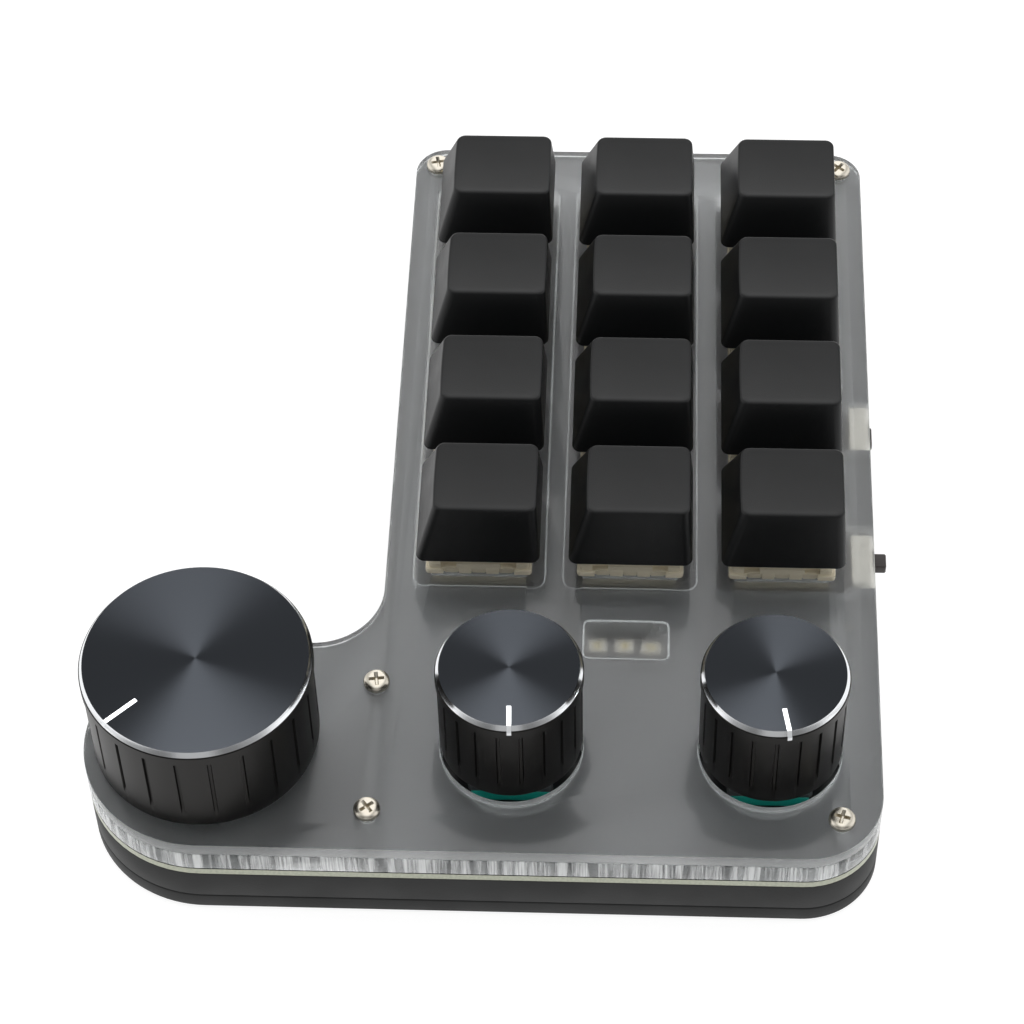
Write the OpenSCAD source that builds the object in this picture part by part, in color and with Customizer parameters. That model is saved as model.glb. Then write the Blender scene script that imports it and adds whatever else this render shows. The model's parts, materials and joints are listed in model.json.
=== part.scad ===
// Macro keypad with twelve keys and three rotary knobs.
// Millimetres. +X runs along the keys towards the knobs, +Y runs away from the user and
// +Z is up. The origin lies under the centre of the key field, on the surface it stands on.

/* [Key field] */
// Distance between key centres along the length
key_pitch_x = 20.9; // [19.8:0.1:24]
// Distance between key centres across the depth
key_pitch_y = 22.2; // [20.6:0.1:26]
// Outer key centre to the left end of the plates
left_margin = 16.3; // [14:0.1:24]
// Outer key centre to the front and rear edges
side_margin = 13.7; // [13.2:0.1:18]

/* [Knob field] */
// Last key centre to the line of the knob axes
knob_offset = 36.9; // [32:0.1:50]
// Knob axes to the right end of the plates
right_margin = 18.5; // [17:0.1:26]
// Rear knob axis to the rear edge
rear_knob_inset = 15.7; // [14.2:0.1:20]
// Distance between the two small knobs
small_knob_spacing = 36.5; // [28:0.1:40]
// Distance from the front small knob to the big knob
big_knob_spacing = 43.1; // [38:0.1:56]
// Width of the round lobe under the big knob
lobe_w = 35; // [33:0.5:38]

/* [Corners] */
// Radius of the two left corners
corner_r = 5; // [4:0.5:8]
// Radius of the rear right corner
end_corner_r = 11; // [6:0.5:14]
// Radius of the inside corner beside the lobe
inner_r = 10; // [5:0.5:14]

/* [Layer stack] */
// How far the rubber feet stand out of the base
foot_proud = 0.6; // [0.4:0.1:2]
// Thickness of the base plate
base_t = 3; // [2.4:0.1:4]
// Height of the case frame between base and circuit board
case_h = 5.8; // [5.6:0.1:10]
// Wall thickness of the case frame
case_wall = 2.6; // [2:0.1:3]
// Thickness of the circuit board
pcb_t = 1.2; // [0.8:0.1:1.8]
// Thickness of the clear acrylic spacer
spacer_t = 3.8; // [3.7:0.1:5]
// Thickness of the frosted top plate
plate_t = 2.2; // [1.5:0.1:3]

/* [Fasteners] */
// Nominal diameter of the screws
screw_d = 2; // [1.6:0.2:2.6]
// Diameter of the cover screw heads
screw_head_d = 3.8; // [3.4:0.1:4.6]
// Height of the cover screw heads
screw_head_h = 1; // [0.6:0.1:1.6]
// Diameter of the brass standoffs
standoff_d = 3.8; // [3.4:0.1:4.6]
// How deep each screw reaches into its standoff
screw_grip = 2.4; // [1.5:0.1:2.7]
// Left screws from the left end
screw_inset_x = 3.7; // [3.3:0.1:6]
// Left screws from the front and rear edges
screw_inset_y = 3.5; // [3.3:0.1:5]
// Right screws from the right end
screw_inset_right = 6.5; // [4:0.1:7]
// Rear right screw from the rear edge
screw_inset_rear = 5.9; // [4:0.1:7]
// Distance between the two screws beside the lobe
screw_pair = 21.7; // [16:0.1:24]

/* [Switches] */
// Width of a switch body in its plate hole
switch_w = 13.9; // [13.6:0.05:14.1]
// Width of the switch flange on the plate
switch_flange = 15.6; // [15.2:0.1:16]
// Depth of the switch body below the plate's top
switch_depth = 5; // [4.6:0.1:5.1]
// Height of the switch housing above the plate's top
switch_h = 6.6; // [6.2:0.1:7]
// Full travel of a key
key_travel = 4; // [3:0.1:4]

/* [Keycaps] */
// Keycap width at its base, along the length
cap_w = 19; // [18:0.1:19.2]
// Keycap depth at its base
cap_d = 18.1; // [18:0.1:18.8]
// Keycap width at its top
cap_top_w = 12.4; // [11.6:0.1:13.4]
// Keycap depth at its top
cap_top_d = 14.8; // [13.8:0.1:15.4]
// Shift of the keycap's top towards the rear
cap_top_shift = 1.1; // [0.6:0.1:1.3]
// Keycap height
cap_h = 8.5; // [8.2:0.1:10]
// Base of the keycap above the plate's top, key up
cap_lift = 5.4; // [5.3:0.1:6]
// Keycap wall thickness
cap_wall = 1.2; // [0.9:0.1:1.3]
// Depth of the hollow in the keycap's top
dish_depth = 0.6; // [0.2:0.1:0.9]

/* [Knobs] */
// Largest diameter of the big knob
big_knob_d = 32.4; // [30:0.1:33]
// Height of the big knob
big_knob_h = 17.6; // [17:0.1:22]
// Largest diameter of a small knob
small_knob_d = 20.6; // [19.4:0.1:22]
// Height of a small knob
small_knob_h = 17; // [16.5:0.1:20]
// Gap between the knobs and the top plate
knob_gap = 1.2; // [0.9:0.1:2]
// Diameter of the round holes around the encoders
knob_hole_d = 20.2; // [18:0.1:21]
// Number of grooves around the big knob
big_grooves = 22; // [12:1:36]
// Number of grooves around a small knob
small_grooves = 20; // [12:1:30]
// Angle of the big knob's pointer line
big_pointer_angle = -46; // [-180:1:180]
// Angle of the front small knob's pointer line
front_pointer_angle = 2; // [-180:1:180]
// Angle of the rear small knob's pointer line
rear_pointer_angle = 10; // [-180:1:180]

/* [Encoders] */
// Width of an encoder
encoder_w = 12; // [11.4:0.1:13]
// Diameter of the encoder shaft
shaft_d = 6; // [5.5:0.1:6.2]
// Top of the shaft above the plate's top
shaft_above = 14.6; // [12:0.1:15]
// Travel of the shaft when it is pushed
push_travel = 0.5; // [0.3:0.05:0.6]

/* [Side controls] */
// Centre of the side button along the length
button_x = 8.4; // [4:0.1:12]
// Width of the side button's body
button_w = 8.4; // [7:0.1:9]
// Travel of the side button
button_travel = 0.3; // [0.2:0.05:0.4]
// Centre of the slide switch along the length
slider_x = 33.3; // [31.6:0.1:35]
// Length of the slide switch's body
slider_w = 8.8; // [8.6:0.1:10]
// Travel of the slide switch's lever
slider_travel = 2; // [1:0.1:2.4]
// How far the lever stands out of the rear edge
lever_proud = 2; // [1:0.1:4]
// Centre of the charging port along the length
usb_x = 49; // [46:0.1:56]

/* [Inside] */
// Battery length
battery_l = 35; // [24:0.5:40]
// Battery width
battery_w = 25; // [18:0.5:30]
// Battery thickness
battery_t = 4; // [3:0.1:4.2]
// Diameter of a rubber foot
foot_d = 9; // [7:0.5:11]

/* [Hidden] */
$fn = 72;
hull_fn = 32;
cols = 4;
rows = 3;
keys = cols * rows;
knobs = 3;
slip = 0.05;         // clearance of a piece in its seat
run = 0.15;          // clearance of a sliding piece
cut = 1;             // how far a cutting tool runs past a face

// Edges of the plates
x_first = -(cols - 1) / 2 * key_pitch_x;
x_last = -x_first;
x_left = x_first - left_margin;
x_knob = x_last + knob_offset;
x_right = x_knob + right_margin;
y_rear = (rows - 1) / 2 * key_pitch_y + side_margin;
y_front = -y_rear;
x_inner = x_right - lobe_w;
knob_y = [y_rear - rear_knob_inset - small_knob_spacing - big_knob_spacing,
          y_rear - rear_knob_inset - small_knob_spacing,
          y_rear - rear_knob_inset];
lobe_r = lobe_w / 2;
lobe_x = x_right - lobe_r;

// Levels of the layers
z_base = foot_proud;
z_case = z_base + base_t;
z_pcb = z_case + case_h;
z_spacer = z_pcb + pcb_t;
z_plate = z_spacer + spacer_t;
z_top = z_plate + plate_t;

// Fasteners: left front, left rear, rear right, and the pair beside the lobe
screw_r = screw_d / 2;
screw_clear = 0.15;
screw_hole_r = screw_r + screw_clear;
lobe_screw_out = 0.1;  // the pair beside the lobe, past the front edge
lobe_screw_y = y_front - lobe_screw_out;
frame_screws = [
    [x_left + screw_inset_x, y_front + screw_inset_y],
    [x_left + screw_inset_x, y_rear - screw_inset_y],
    [x_right - screw_inset_right, y_rear - screw_inset_rear],
    [x_right - screw_inset_right, lobe_screw_y]];
free_screw = [x_right - screw_inset_right - screw_pair, lobe_screw_y];
screws = concat(frame_screws, [free_screw]);
standoff_clear = 0.1;
pad_w = standoff_d + 4;
pad_reach = 2.5 * pad_w;  // past the plates' edge from any screw
sink_clear = 0.1;
sink_slip = 0.01;
base_head_sink = 0.05;
head_rim_h = 0.6;
head_round = 0.5;
cross_share = [0.55, 0.22];  // cross recess, as shares of the head's and shank's width
cover_recess = 0.8;
base_recess = 0.6;
foot_sink = 0.5;
foot_margin = 7;
foot_inset = foot_d / 2 + foot_margin;
feet = [[0, 0],
        [x_left + foot_inset, y_front + foot_inset],
        [x_left + foot_inset, y_rear - foot_inset],
        [x_knob, y_rear - foot_inset],
        [lobe_x, knob_y[0]]];

// Switch details, measured from the plate's top
flange_t = 1;
floor_t = 1.2;
cavity_w = 10.6;
top_cavity_w = 10;
top_foot_in = 0.6;   // the housing's foot, narrower than the flange
top_head_in = 2.9;   // the housing's roof, narrower than the body
roof_t = 1;
slider_size = [7, 5.6];
shoulder_w = 8.4;
stem_spare = 0.2;    // left under the stem when the key is down
stem_bottom = -switch_depth + floor_t + key_travel + stem_spare;
shoulder_h = 2;
stem_shoulder_top = stem_bottom + shoulder_h;
stem_sink = 0.2;
stem_top = switch_h - stem_sink;
cross_h = 3.6;
cross_l = 4;
cross_t = 1.2;
spring_r = 2.2;
spring_wall = 0.3;
spring_clear = 0.2;
spring_bore_r = spring_r + spring_clear;
spring_sink = 1.2;
spring_top = stem_top - spring_sink;
guide_r = 1;
peg_r = 1.9;
pin_size = [0.9, 0.4];
pin_at = [[-3.81, 2.54], [2.54, 5.08]];
pin_proud = 0.8;
leaf_size = [3, 0.25, 4];

// Keycap details
cap_base_r = 1.6;
cap_inner_r = 0.8;
cap_top_r = 2.5;
cap_rim = 0.3;
cap_roof = 1.5;
cap_post_r = 2.75;
cap_slice_t = 0.1;
cross_spare = 0.3;
dish_over = 0.5;
dish_half = cap_top_w / 2 + dish_over;
dish_r = (pow(dish_half, 2) + pow(dish_depth, 2)) / (2 * dish_depth);

// Spacer cut-outs
slot_margin = 1.8;
slot_w = switch_flange + 2 * slot_margin;
slot_end = 1.65;
slot_l = (cols - 1) * key_pitch_x + switch_w + 2 * slot_end;
slot_r = 1.6;
bridge_w = 3.4;
pocket_sink = 0.2;
pocket_y = (rows - 1) / 2 * key_pitch_y + slot_w / 2 - pocket_sink;
button_gap = 0.3;
slider_gap = 1.2;
window_size = [6.4, 12.1];
window_out = 17.95;
window_at = [x_last + window_out, -0.35];
led_size = [2, 2.8];
led_h = 0.9;
led_pitch = 4;
led_in = 0.5;

// Encoder details, measured from the circuit board's top
enc_base_h = 2.2;
enc_roof = 4.6;
enc_h = 5.6;
enc_bush_wall = 0.5;
enc_bush_r = shaft_d / 2 + enc_bush_wall;
enc_bush_top = 10.6;
enc_cavity_r = 4.9;
rotor_r = 4.6;
rotor_z = [2.5, 3.4];
key_sq = 3.2;
key_clear = 0.1;
well_r = 3;
dome_clear = 0.2;
push_clear = 0.1;
well_z = 1;
dome_t = 0.15;
collar_r = 4;
collar_z = [4, 4.5];
shaft_flat = 0.75;
shaft_tip = z_top - z_spacer + shaft_above;
flat_above = 0.4;
flat_z = enc_bush_top + flat_above;
lug_size = [2, 0.5];
lug_clear = 0.2;
lug_proud = 0.6;

// Knob details
lip_w = 0.4;
lip_h = 2.3;
chamfer = 0.75;
foot_in = 1;
foot_h = 1.5;
groove_low = 3.2;
groove_w = 0.5;
groove_deep = 0.35;
pointer_w = 0.7;
pointer_deep = 0.3;
pointer_from = 0.65;
knob_wall = 2.4;
knob_clear = 0.6;
recess_deep = 1.6;
bore_spare = 0.2;

// Side control details, measured from the circuit board's top
button_d = 2.6;
button_body_h = 3.2;
plunger_size = [3.9, 1.6];
plunger_z = 1.7;
plunger_back = 1.6;
plunger_proud = 0.6;
flange_out = 0.4;
flange_d = 0.6;
flange_room = 1;
slider_d = 3;
slider_body_h = 3.3;
lever_size = [2.5, 1.6];
lever_z = 1.8;
lever_foot = [3.4, 1.1, 2.2];
lever_sill = 0.8;    // the body in front of the lever's foot
edge_back = 0.4;     // side parts from the rear edge

// Charging port
usb_w = 8.94;
usb_h = 3.26;
usb_l = 7.3;
usb_wall = 0.3;
usb_tongue_size = [6.7, 4.8, 0.7];
usb_back = 0.8;
usb_tab_size = [0.3, 1.1];
usb_tab_at = [3.4, 6.2];
usb_clear = 0.35;
round_end = 0.01;    // leaves a stadium a short straight side

// Chips on the board's underside: centre, size and height of each
chip_x = x_last + 12;
chip_y = y_rear - 16;
chips = [[[chip_x, -6], [7, 7], 0.9],
         [[chip_x, 6], [13, 10], 1.6],
         [[usb_x, chip_y], [3, 3], 0.9],
         [[usb_x - 6, chip_y], [4, 5], 1.5]];

// Battery and its leads
battery_at = [-key_pitch_x / 2, 0];
battery_r = 1.5;
lead_d = 1.2;
lead_l = 5;

// ---------------------------------------------------------------- shared shapes

function key_xy(i) = [x_first + ((i - 1) % cols) * key_pitch_x,
                      (floor((i - 1) / cols) - (rows - 1) / 2) * key_pitch_y];

function knob_xy(i) = [x_knob, knob_y[i - 1]];

// A rectangle with round corners, centred
module round_rect(size, r) {
    square([size[0] - 2 * r, size[1]], center = true);
    square([size[0], size[1] - 2 * r], center = true);
    for (sx = [-1, 1], sy = [-1, 1])
        translate([sx * (size[0] / 2 - r), sy * (size[1] / 2 - r)]) circle(r);
}

// What a round corner leaves of its square, pointing to (+, +)
module corner_waste(r) {
    difference() {
        square(r + cut);
        circle(r);
    }
}

// The plates' outline, drawn in by d all round
module outline(d = 0) {
    difference() {
        union() {
            translate([x_left + d, y_front + d])
                square([x_right - x_left - 2 * d, y_rear - y_front - 2 * d]);
            translate([x_inner + d, knob_y[0]])
                square([lobe_w - 2 * d, -knob_y[0]]);
            translate([lobe_x, knob_y[0]]) circle(lobe_r - d);
            translate([x_inner - inner_r, y_front - inner_r]) difference() {
                square(inner_r + d);
                circle(inner_r + d);
            }
        }
        translate([x_left + corner_r, y_rear - corner_r])
            mirror([1, 0]) corner_waste(corner_r - d);
        translate([x_left + corner_r, y_front + corner_r])
            mirror([1, 0]) mirror([0, 1]) corner_waste(corner_r - d);
        translate([x_right - end_corner_r, y_rear - end_corner_r])
            corner_waste(end_corner_r - d);
    }
}

module screw_holes() {
    for (p = screws) translate(p) circle(screw_hole_r);
}

module encoder_holes() {
    for (i = [1:knobs]) translate(knob_xy(i)) circle(knob_hole_d / 2);
}

// Circle with one flat, the section of a D shaft
module d_section(r, flat) {
    intersection() {
        circle(r);
        translate([-r, -r]) square([2 * r - flat, 2 * r]);
    }
}

// Block with four sloping sides, built as two crossed prisms
module frustum(base, top, h) {
    intersection() {
        rotate([90, 0, 0]) linear_extrude(2 * base, center = true)
            polygon([[-base / 2, 0], [base / 2, 0], [top / 2, h], [-top / 2, h]]);
        rotate([90, 0, 90]) linear_extrude(2 * base, center = true)
            polygon([[-base / 2, 0], [base / 2, 0], [top / 2, h], [-top / 2, h]]);
    }
}

module block(size, z0, z1) {
    translate([0, 0, z0]) linear_extrude(z1 - z0) square(size, center = true);
}

module rod(r, z0, z1) {
    translate([0, 0, z0]) cylinder(r = r, h = z1 - z0);
}

// ---------------------------------------------------------------- layers

module top_plate() {
    color("#8d9194") translate([0, 0, z_plate]) linear_extrude(plate_t) difference() {
        outline();
        for (i = [1:keys]) translate(key_xy(i)) square(switch_w + 2 * slip, center = true);
        encoder_holes();
        screw_holes();
    }
}

// One row's slot, in two parts where a bridge crosses it
module switch_slot(y, bridged) {
    translate([0, y]) difference() {
        round_rect([slot_l, slot_w], slot_r);
        if (bridged) translate([x_last - key_pitch_x / 2, 0])
            square([bridge_w, slot_w + cut], center = true);
    }
}

module side_pocket(x, w) {
    translate([x - w / 2, pocket_y]) square([w, y_rear - pocket_y + cut]);
}

module clear_spacer() {
    color("#dfe6e6") translate([0, 0, z_spacer]) linear_extrude(spacer_t) difference() {
        outline();
        for (j = [1:rows]) switch_slot((j - (rows + 1) / 2) * key_pitch_y, j == rows);
        side_pocket(button_x, button_w + 2 * button_gap);
        side_pocket(slider_x, slider_w + 2 * slider_gap);
        translate(window_at) square(window_size, center = true);
        encoder_holes();
        screw_holes();
    }
}

module usb_tabs(grow) {
    for (sx = [-1, 1], y = usb_tab_at)
        translate([usb_x + sx * (usb_w - usb_tab_size[0]) / 2, y_rear - edge_back - y])
            square(usb_tab_size + [grow, grow], center = true);
}

module circuit_board() {
    color("#16181a") translate([0, 0, z_pcb]) linear_extrude(pcb_t) difference() {
        outline();
        for (i = [1:keys]) translate(key_xy(i)) {
            circle(peg_r + slip);
            for (p = pin_at) translate(p) circle(pin_size[0] / 2 + lug_clear);
        }
        for (i = [1:knobs], s = [-1, 1])
            translate(knob_xy(i) + [0, s * (encoder_w / 2 - lug_size[1] / 2)])
                square(lug_size + 2 * [lug_clear, lug_clear], center = true);
        usb_tabs(2 * lug_clear);
        screw_holes();
    }
}

// Solid corner around a screw, out to the frame's edge
module screw_pad(p) {
    beside_lobe = p[0] > 0 && p[1] < 0;
    intersection() {
        translate(p) mirror([p[0] < 0 ? 1 : 0, 0]) mirror([0, p[1] < 0 ? 1 : 0])
            translate([-pad_w / 2, -pad_w / 2])
                square([pad_reach, beside_lobe ? pad_w : pad_reach]);
        outline();
    }
}

module usb_opening(grow) {
    w = usb_w + 2 * grow;
    h = usb_h + 2 * grow;
    round_rect([w, h], h / 2 - round_end);
}

module case_frame() {
    color("#2a2b2c") difference() {
        translate([0, 0, z_case]) linear_extrude(case_h) difference() {
            outline();
            difference() {
                outline(case_wall);
                for (p = frame_screws) screw_pad(p);
            }
            for (p = frame_screws) translate(p) circle(standoff_d / 2 + standoff_clear);
        }
        translate([usb_x, y_rear + cut, z_pcb - usb_h / 2]) rotate([90, 0, 0])
            linear_extrude(case_wall + 2 * cut) usb_opening(usb_clear);
    }
}

module base_plate() {
    color("#1f2021") difference() {
        translate([0, 0, z_base]) linear_extrude(base_t) difference() {
            outline();
            screw_holes();
        }
        for (p = screws) translate([p[0], p[1], z_base - sink_slip])
            cylinder(r1 = screw_head_d / 2 + sink_clear, r2 = screw_hole_r,
                     h = screw_head_d / 2 - screw_r);
        for (p = feet) translate([p[0], p[1], z_base - cut])
            cylinder(r = foot_d / 2 + slip, h = foot_sink + cut);
    }
}

module rubber_feet() {
    color("#101010") for (p = feet) translate(p) cylinder(d = foot_d, h = foot_proud + foot_sink);
}

// ---------------------------------------------------------------- fasteners

module cross_recess(z, depth) {
    for (a = [0, 90]) translate([0, 0, z - depth / 2 + cut / 2]) rotate(a)
        cube([screw_head_d * cross_share[0], screw_d * cross_share[1], depth + cut], center = true);
}

module cover_screws() {
    color("#c9cbcc") for (p = screws) translate(p) difference() {
        union() {
            rod(screw_r, z_pcb - screw_grip, z_top);
            translate([0, 0, z_top]) rotate_extrude() polygon([
                [0, 0], [screw_head_d / 2, 0], [screw_head_d / 2, screw_head_h * head_rim_h],
                [screw_head_d / 2 - head_round, screw_head_h], [0, screw_head_h]]);
        }
        cross_recess(z_top + screw_head_h, cover_recess);
    }
}

module standoffs() {
    color("#c8a24a") for (p = screws) translate(p) difference() {
        rod(standoff_d / 2, z_case, z_pcb);
        rod(screw_r + slip / 2, z_case - cut, z_pcb + cut);
    }
}

module base_screws() {
    color("#c9cbcc") for (p = screws) translate(p) difference() {
        union() {
            rod(screw_r, z_base + 2 * base_head_sink, z_case + screw_grip);
            translate([0, 0, z_base + base_head_sink])
                cylinder(r1 = screw_head_d / 2, r2 = screw_r, h = screw_head_d / 2 - screw_r);
        }
        mirror([0, 0, 1]) cross_recess(-z_base - base_head_sink, base_recess);
    }
}

// ---------------------------------------------------------------- key switches

module at_keys() {
    for (i = [1:keys]) translate(concat(key_xy(i), [z_top])) children();
}

module switch_bases() {
    color("#e9e4d3") at_keys() difference() {
        union() {
            block([switch_w, switch_w], -switch_depth, 0);
            block([switch_flange, switch_flange], 0, flange_t);
            rod(peg_r, z_pcb - z_top, -switch_depth);
        }
        difference() {
            block([cavity_w, cavity_w], -switch_depth + floor_t, flange_t + cut);
            rod(guide_r, -switch_depth, flange_t);
        }
        for (p = pin_at) translate(p)
            block(pin_size + [2 * slip, 2 * slip], -switch_depth - cut, 0);
    }
}

module switch_tops() {
    color("#eee9da") at_keys() difference() {
        translate([0, 0, flange_t])
            frustum(switch_flange - top_foot_in, switch_w - top_head_in, switch_h - flange_t);
        block([top_cavity_w, top_cavity_w], flange_t - cut, switch_h - roof_t);
        block(slider_size + [2 * run, 2 * run], switch_h - roof_t - cut, switch_h + cut);
    }
}

module switch_contacts() {
    color("#c58f3e") at_keys() {
        for (p = pin_at) translate(p)
            block(pin_size, z_pcb - z_top - pin_proud, -switch_depth + floor_t);
        translate([pin_at[1][0], pin_at[1][1]])
            block([leaf_size[0], leaf_size[1]], -switch_depth + floor_t,
                  -switch_depth + floor_t + leaf_size[2]);
    }
}

module key_springs() {
    color("#b9bdc0") at_keys() difference() {
        rod(spring_r, -switch_depth + floor_t, spring_top);
        rod(spring_r - spring_wall, -switch_depth + floor_t - cut, spring_top + cut);
    }
}

module stem_cross(grow, z0, z1) {
    block([cross_l + 2 * grow, cross_t + 2 * grow], z0, z1);
    block([cross_t + 2 * grow, cross_l + 2 * grow], z0, z1);
}

module key_stem(i) {
    color("#7b3a2c") translate(concat(key_xy(i), [z_top])) difference() {
        union() {
            block([shoulder_w, slider_size[1]], stem_bottom, stem_shoulder_top);
            block(slider_size, stem_shoulder_top, stem_top);
            stem_cross(0, stem_top, stem_top + cross_h);
        }
        rod(spring_bore_r, stem_bottom - cut, spring_top);
    }
}

// Outer size and centre of the keycap at a height above its base, drawn in by d
function cap_size(z, d) = [cap_w + (cap_top_w - cap_w) * z / cap_h - 2 * d,
                           cap_d + (cap_top_d - cap_d) * z / cap_h - 2 * d];
function cap_shift(z) = cap_top_shift * z / cap_h;

module cap_slice(z, t, d, r) {
    translate([0, cap_shift(z), z]) linear_extrude(t)
        round_rect(cap_size(z, d), r, $fn = hull_fn);
}

module keycap(i) {
    roof_z = cap_h - dish_depth - cap_roof;
    color("#2b2c2d") translate(concat(key_xy(i), [z_top + cap_lift])) difference() {
        union() {
            difference() {
                hull() {
                    cap_slice(0, cap_rim, 0, cap_base_r);
                    cap_slice(cap_h - cap_slice_t, cap_slice_t, 0, cap_top_r);
                }
                hull() {
                    cap_slice(-cap_slice_t, cap_slice_t, cap_wall, cap_inner_r);
                    cap_slice(roof_z - cap_slice_t, cap_slice_t, cap_wall, cap_inner_r);
                }
            }
            rod(cap_post_r, stem_top - cap_lift + slip, roof_z + cap_roof / 2);
        }
        stem_cross(slip, stem_top - cap_lift - cut, stem_top - cap_lift + cross_h + cross_spare);
        translate([0, cap_top_shift, cap_h - dish_depth + dish_r]) rotate([90, 0, 0])
            cylinder(r = dish_r, h = cap_d * 2, center = true, $fn = 180);
    }
}

// ---------------------------------------------------------------- encoders and knobs

module at_encoder(i) {
    translate([x_knob, knob_y[i - 1], z_spacer]) children();
}

module encoder_bases() {
    color("#1f8f86") for (i = [1:knobs]) at_encoder(i) difference() {
        block([encoder_w, encoder_w - 2 * lug_size[1]], 0, enc_base_h);
        rod(well_r, well_z, enc_base_h + cut);
    }
}

module encoder_housings() {
    color("#b4b7ba") for (i = [1:knobs]) at_encoder(i) difference() {
        union() {
            block([encoder_w, encoder_w], enc_base_h, enc_h);
            rod(enc_bush_r, enc_h, enc_bush_top);
            for (s = [-1, 1]) translate([0, s * (encoder_w / 2 - lug_size[1] / 2)])
                block(lug_size, -pcb_t - lug_proud, enc_base_h);
        }
        rod(enc_cavity_r, enc_base_h - cut, enc_roof);
        rod(shaft_d / 2 + slip, enc_roof - cut, enc_bush_top + cut);
    }
}

module snap_domes() {
    color("#d0c58f") for (i = [1:knobs]) at_encoder(i)
        rod(well_r - dome_clear, well_z, well_z + dome_t);
}

module encoder_rotor(i) {
    color("#303234") at_encoder(i) difference() {
        rod(rotor_r, rotor_z[0], rotor_z[1]);
        block([key_sq, key_sq] + 2 * [key_clear, key_clear], rotor_z[0] - cut, rotor_z[1] + cut);
    }
}

module encoder_shaft(i) {
    color("#c4c7ca") at_encoder(i) {
        block([key_sq, key_sq], well_z + dome_t + push_travel + push_clear, collar_z[0]);
        rod(collar_r, collar_z[0], collar_z[1]);
        difference() {
            rod(shaft_d / 2, collar_z[1], shaft_tip);
            rotate(pointer_angle(i)) translate([shaft_d / 2 - shaft_flat, -shaft_d, flat_z])
                cube([shaft_d, 2 * shaft_d, shaft_tip]);
        }
    }
}

function pointer_angle(i) = [big_pointer_angle, front_pointer_angle, rear_pointer_angle][i - 1];

// One aluminium knob of diameter d and height h, with a ring of n grooves
module knob(i, d, h, n) {
    r = d / 2;
    ring_r = r - lip_w;
    cavity_top = z_spacer + enc_bush_top + push_travel + knob_clear - z_top - knob_gap;
    color("#1c1d1f") translate([x_knob, knob_y[i - 1], z_top + knob_gap])
        rotate(pointer_angle(i)) difference() {
            rotate_extrude() polygon([
                [0, 0], [r - foot_in, 0], [r - foot_in / 2, foot_in / 2],
                [r - lip_w / 2, foot_h], [r - lip_w / 2, h - lip_h - lip_w / 2],
                [r, h - lip_h], [r, h - chamfer - lip_w],
                [ring_r, h - chamfer], [ring_r - chamfer, h], [0, h]]);
            for (k = [1:n]) rotate((k + 0.5) * 360 / n)
                translate([r - lip_w / 2 - groove_deep, -groove_w / 2, groove_low])
                    cube([r, groove_w, h - lip_h - lip_w - groove_low]);
            translate([ring_r * pointer_from, -pointer_w / 2, h - pointer_deep])
                cube([r, pointer_w, cut]);
            rod(r - knob_wall, -cut, recess_deep);
            rod(enc_bush_r + knob_clear, -cut, cavity_top);
            translate([0, 0, cavity_top - cut])
                linear_extrude(shaft_above - knob_gap + bore_spare - cavity_top + cut)
                    d_section(shaft_d / 2 + slip, shaft_flat);
        }
}

module big_knob() { knob(1, big_knob_d, big_knob_h, big_grooves); }
module front_knob() { knob(2, small_knob_d, small_knob_h, small_grooves); }
module rear_knob() { knob(3, small_knob_d, small_knob_h, small_grooves); }

// ---------------------------------------------------------------- side controls

module slide_switch_body() {
    span = slider_travel + lever_size[0] + 2 * run;
    foot_span = slider_travel + lever_foot[0] + 2 * run;
    color("#e7e0cd") translate([slider_x, y_rear - edge_back, z_spacer]) difference() {
        translate([-slider_w / 2, -slider_d, 0]) cube([slider_w, slider_d, slider_body_h]);
        translate([-span / 2, -slider_d / 2, lever_z - lever_size[1] / 2 - run])
            cube([span, slider_d, lever_size[1] + 2 * run]);
        translate([-foot_span / 2, -lever_sill - lever_foot[1] - run,
                   lever_z - lever_foot[2] / 2 - run])
            cube([foot_span, lever_foot[1] + 2 * run, lever_foot[2] + 2 * run]);
    }
}

// The lever rests at the left end of its travel
module slide_lever() {
    color("#2a2523") translate([slider_x - slider_travel / 2, y_rear - edge_back, z_spacer + lever_z]) {
        translate([-lever_foot[0] / 2, -lever_sill - lever_foot[1], -lever_foot[2] / 2])
            cube(lever_foot);
        translate([-lever_size[0] / 2, -lever_sill, -lever_size[1] / 2])
            cube([lever_size[0], lever_sill + edge_back + lever_proud, lever_size[1]]);
    }
}

module button_body() {
    color("#e7e0cd") translate([button_x, y_rear - edge_back, z_spacer]) difference() {
        translate([-button_w / 2, -button_d, 0]) cube([button_w, button_d, button_body_h]);
        translate([-plunger_size[0] / 2 - run, -plunger_back, plunger_z - plunger_size[1] / 2 - run])
            cube([plunger_size[0] + 2 * run, plunger_back + cut, plunger_size[1] + 2 * run]);
        translate([-plunger_size[0] / 2 - flange_out - run, -plunger_back,
                   plunger_z - plunger_size[1] / 2 - run])
            cube([plunger_size[0] + 2 * (flange_out + run), flange_room, plunger_size[1] + 2 * run]);
    }
}

module button_plunger() {
    color("#17181a") translate([button_x, y_rear - edge_back, z_spacer + plunger_z]) {
        translate([-plunger_size[0] / 2 - flange_out, button_travel + slip - plunger_back,
                   -plunger_size[1] / 2])
            cube([plunger_size[0] + 2 * flange_out, flange_d, plunger_size[1]]);
        translate([0, button_travel + flange_d - plunger_back, 0]) rotate([-90, 0, 0])
            linear_extrude(plunger_back - flange_d - button_travel + edge_back + plunger_proud)
                round_rect(plunger_size, plunger_size[1] / 2 - round_end);
    }
}

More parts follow.
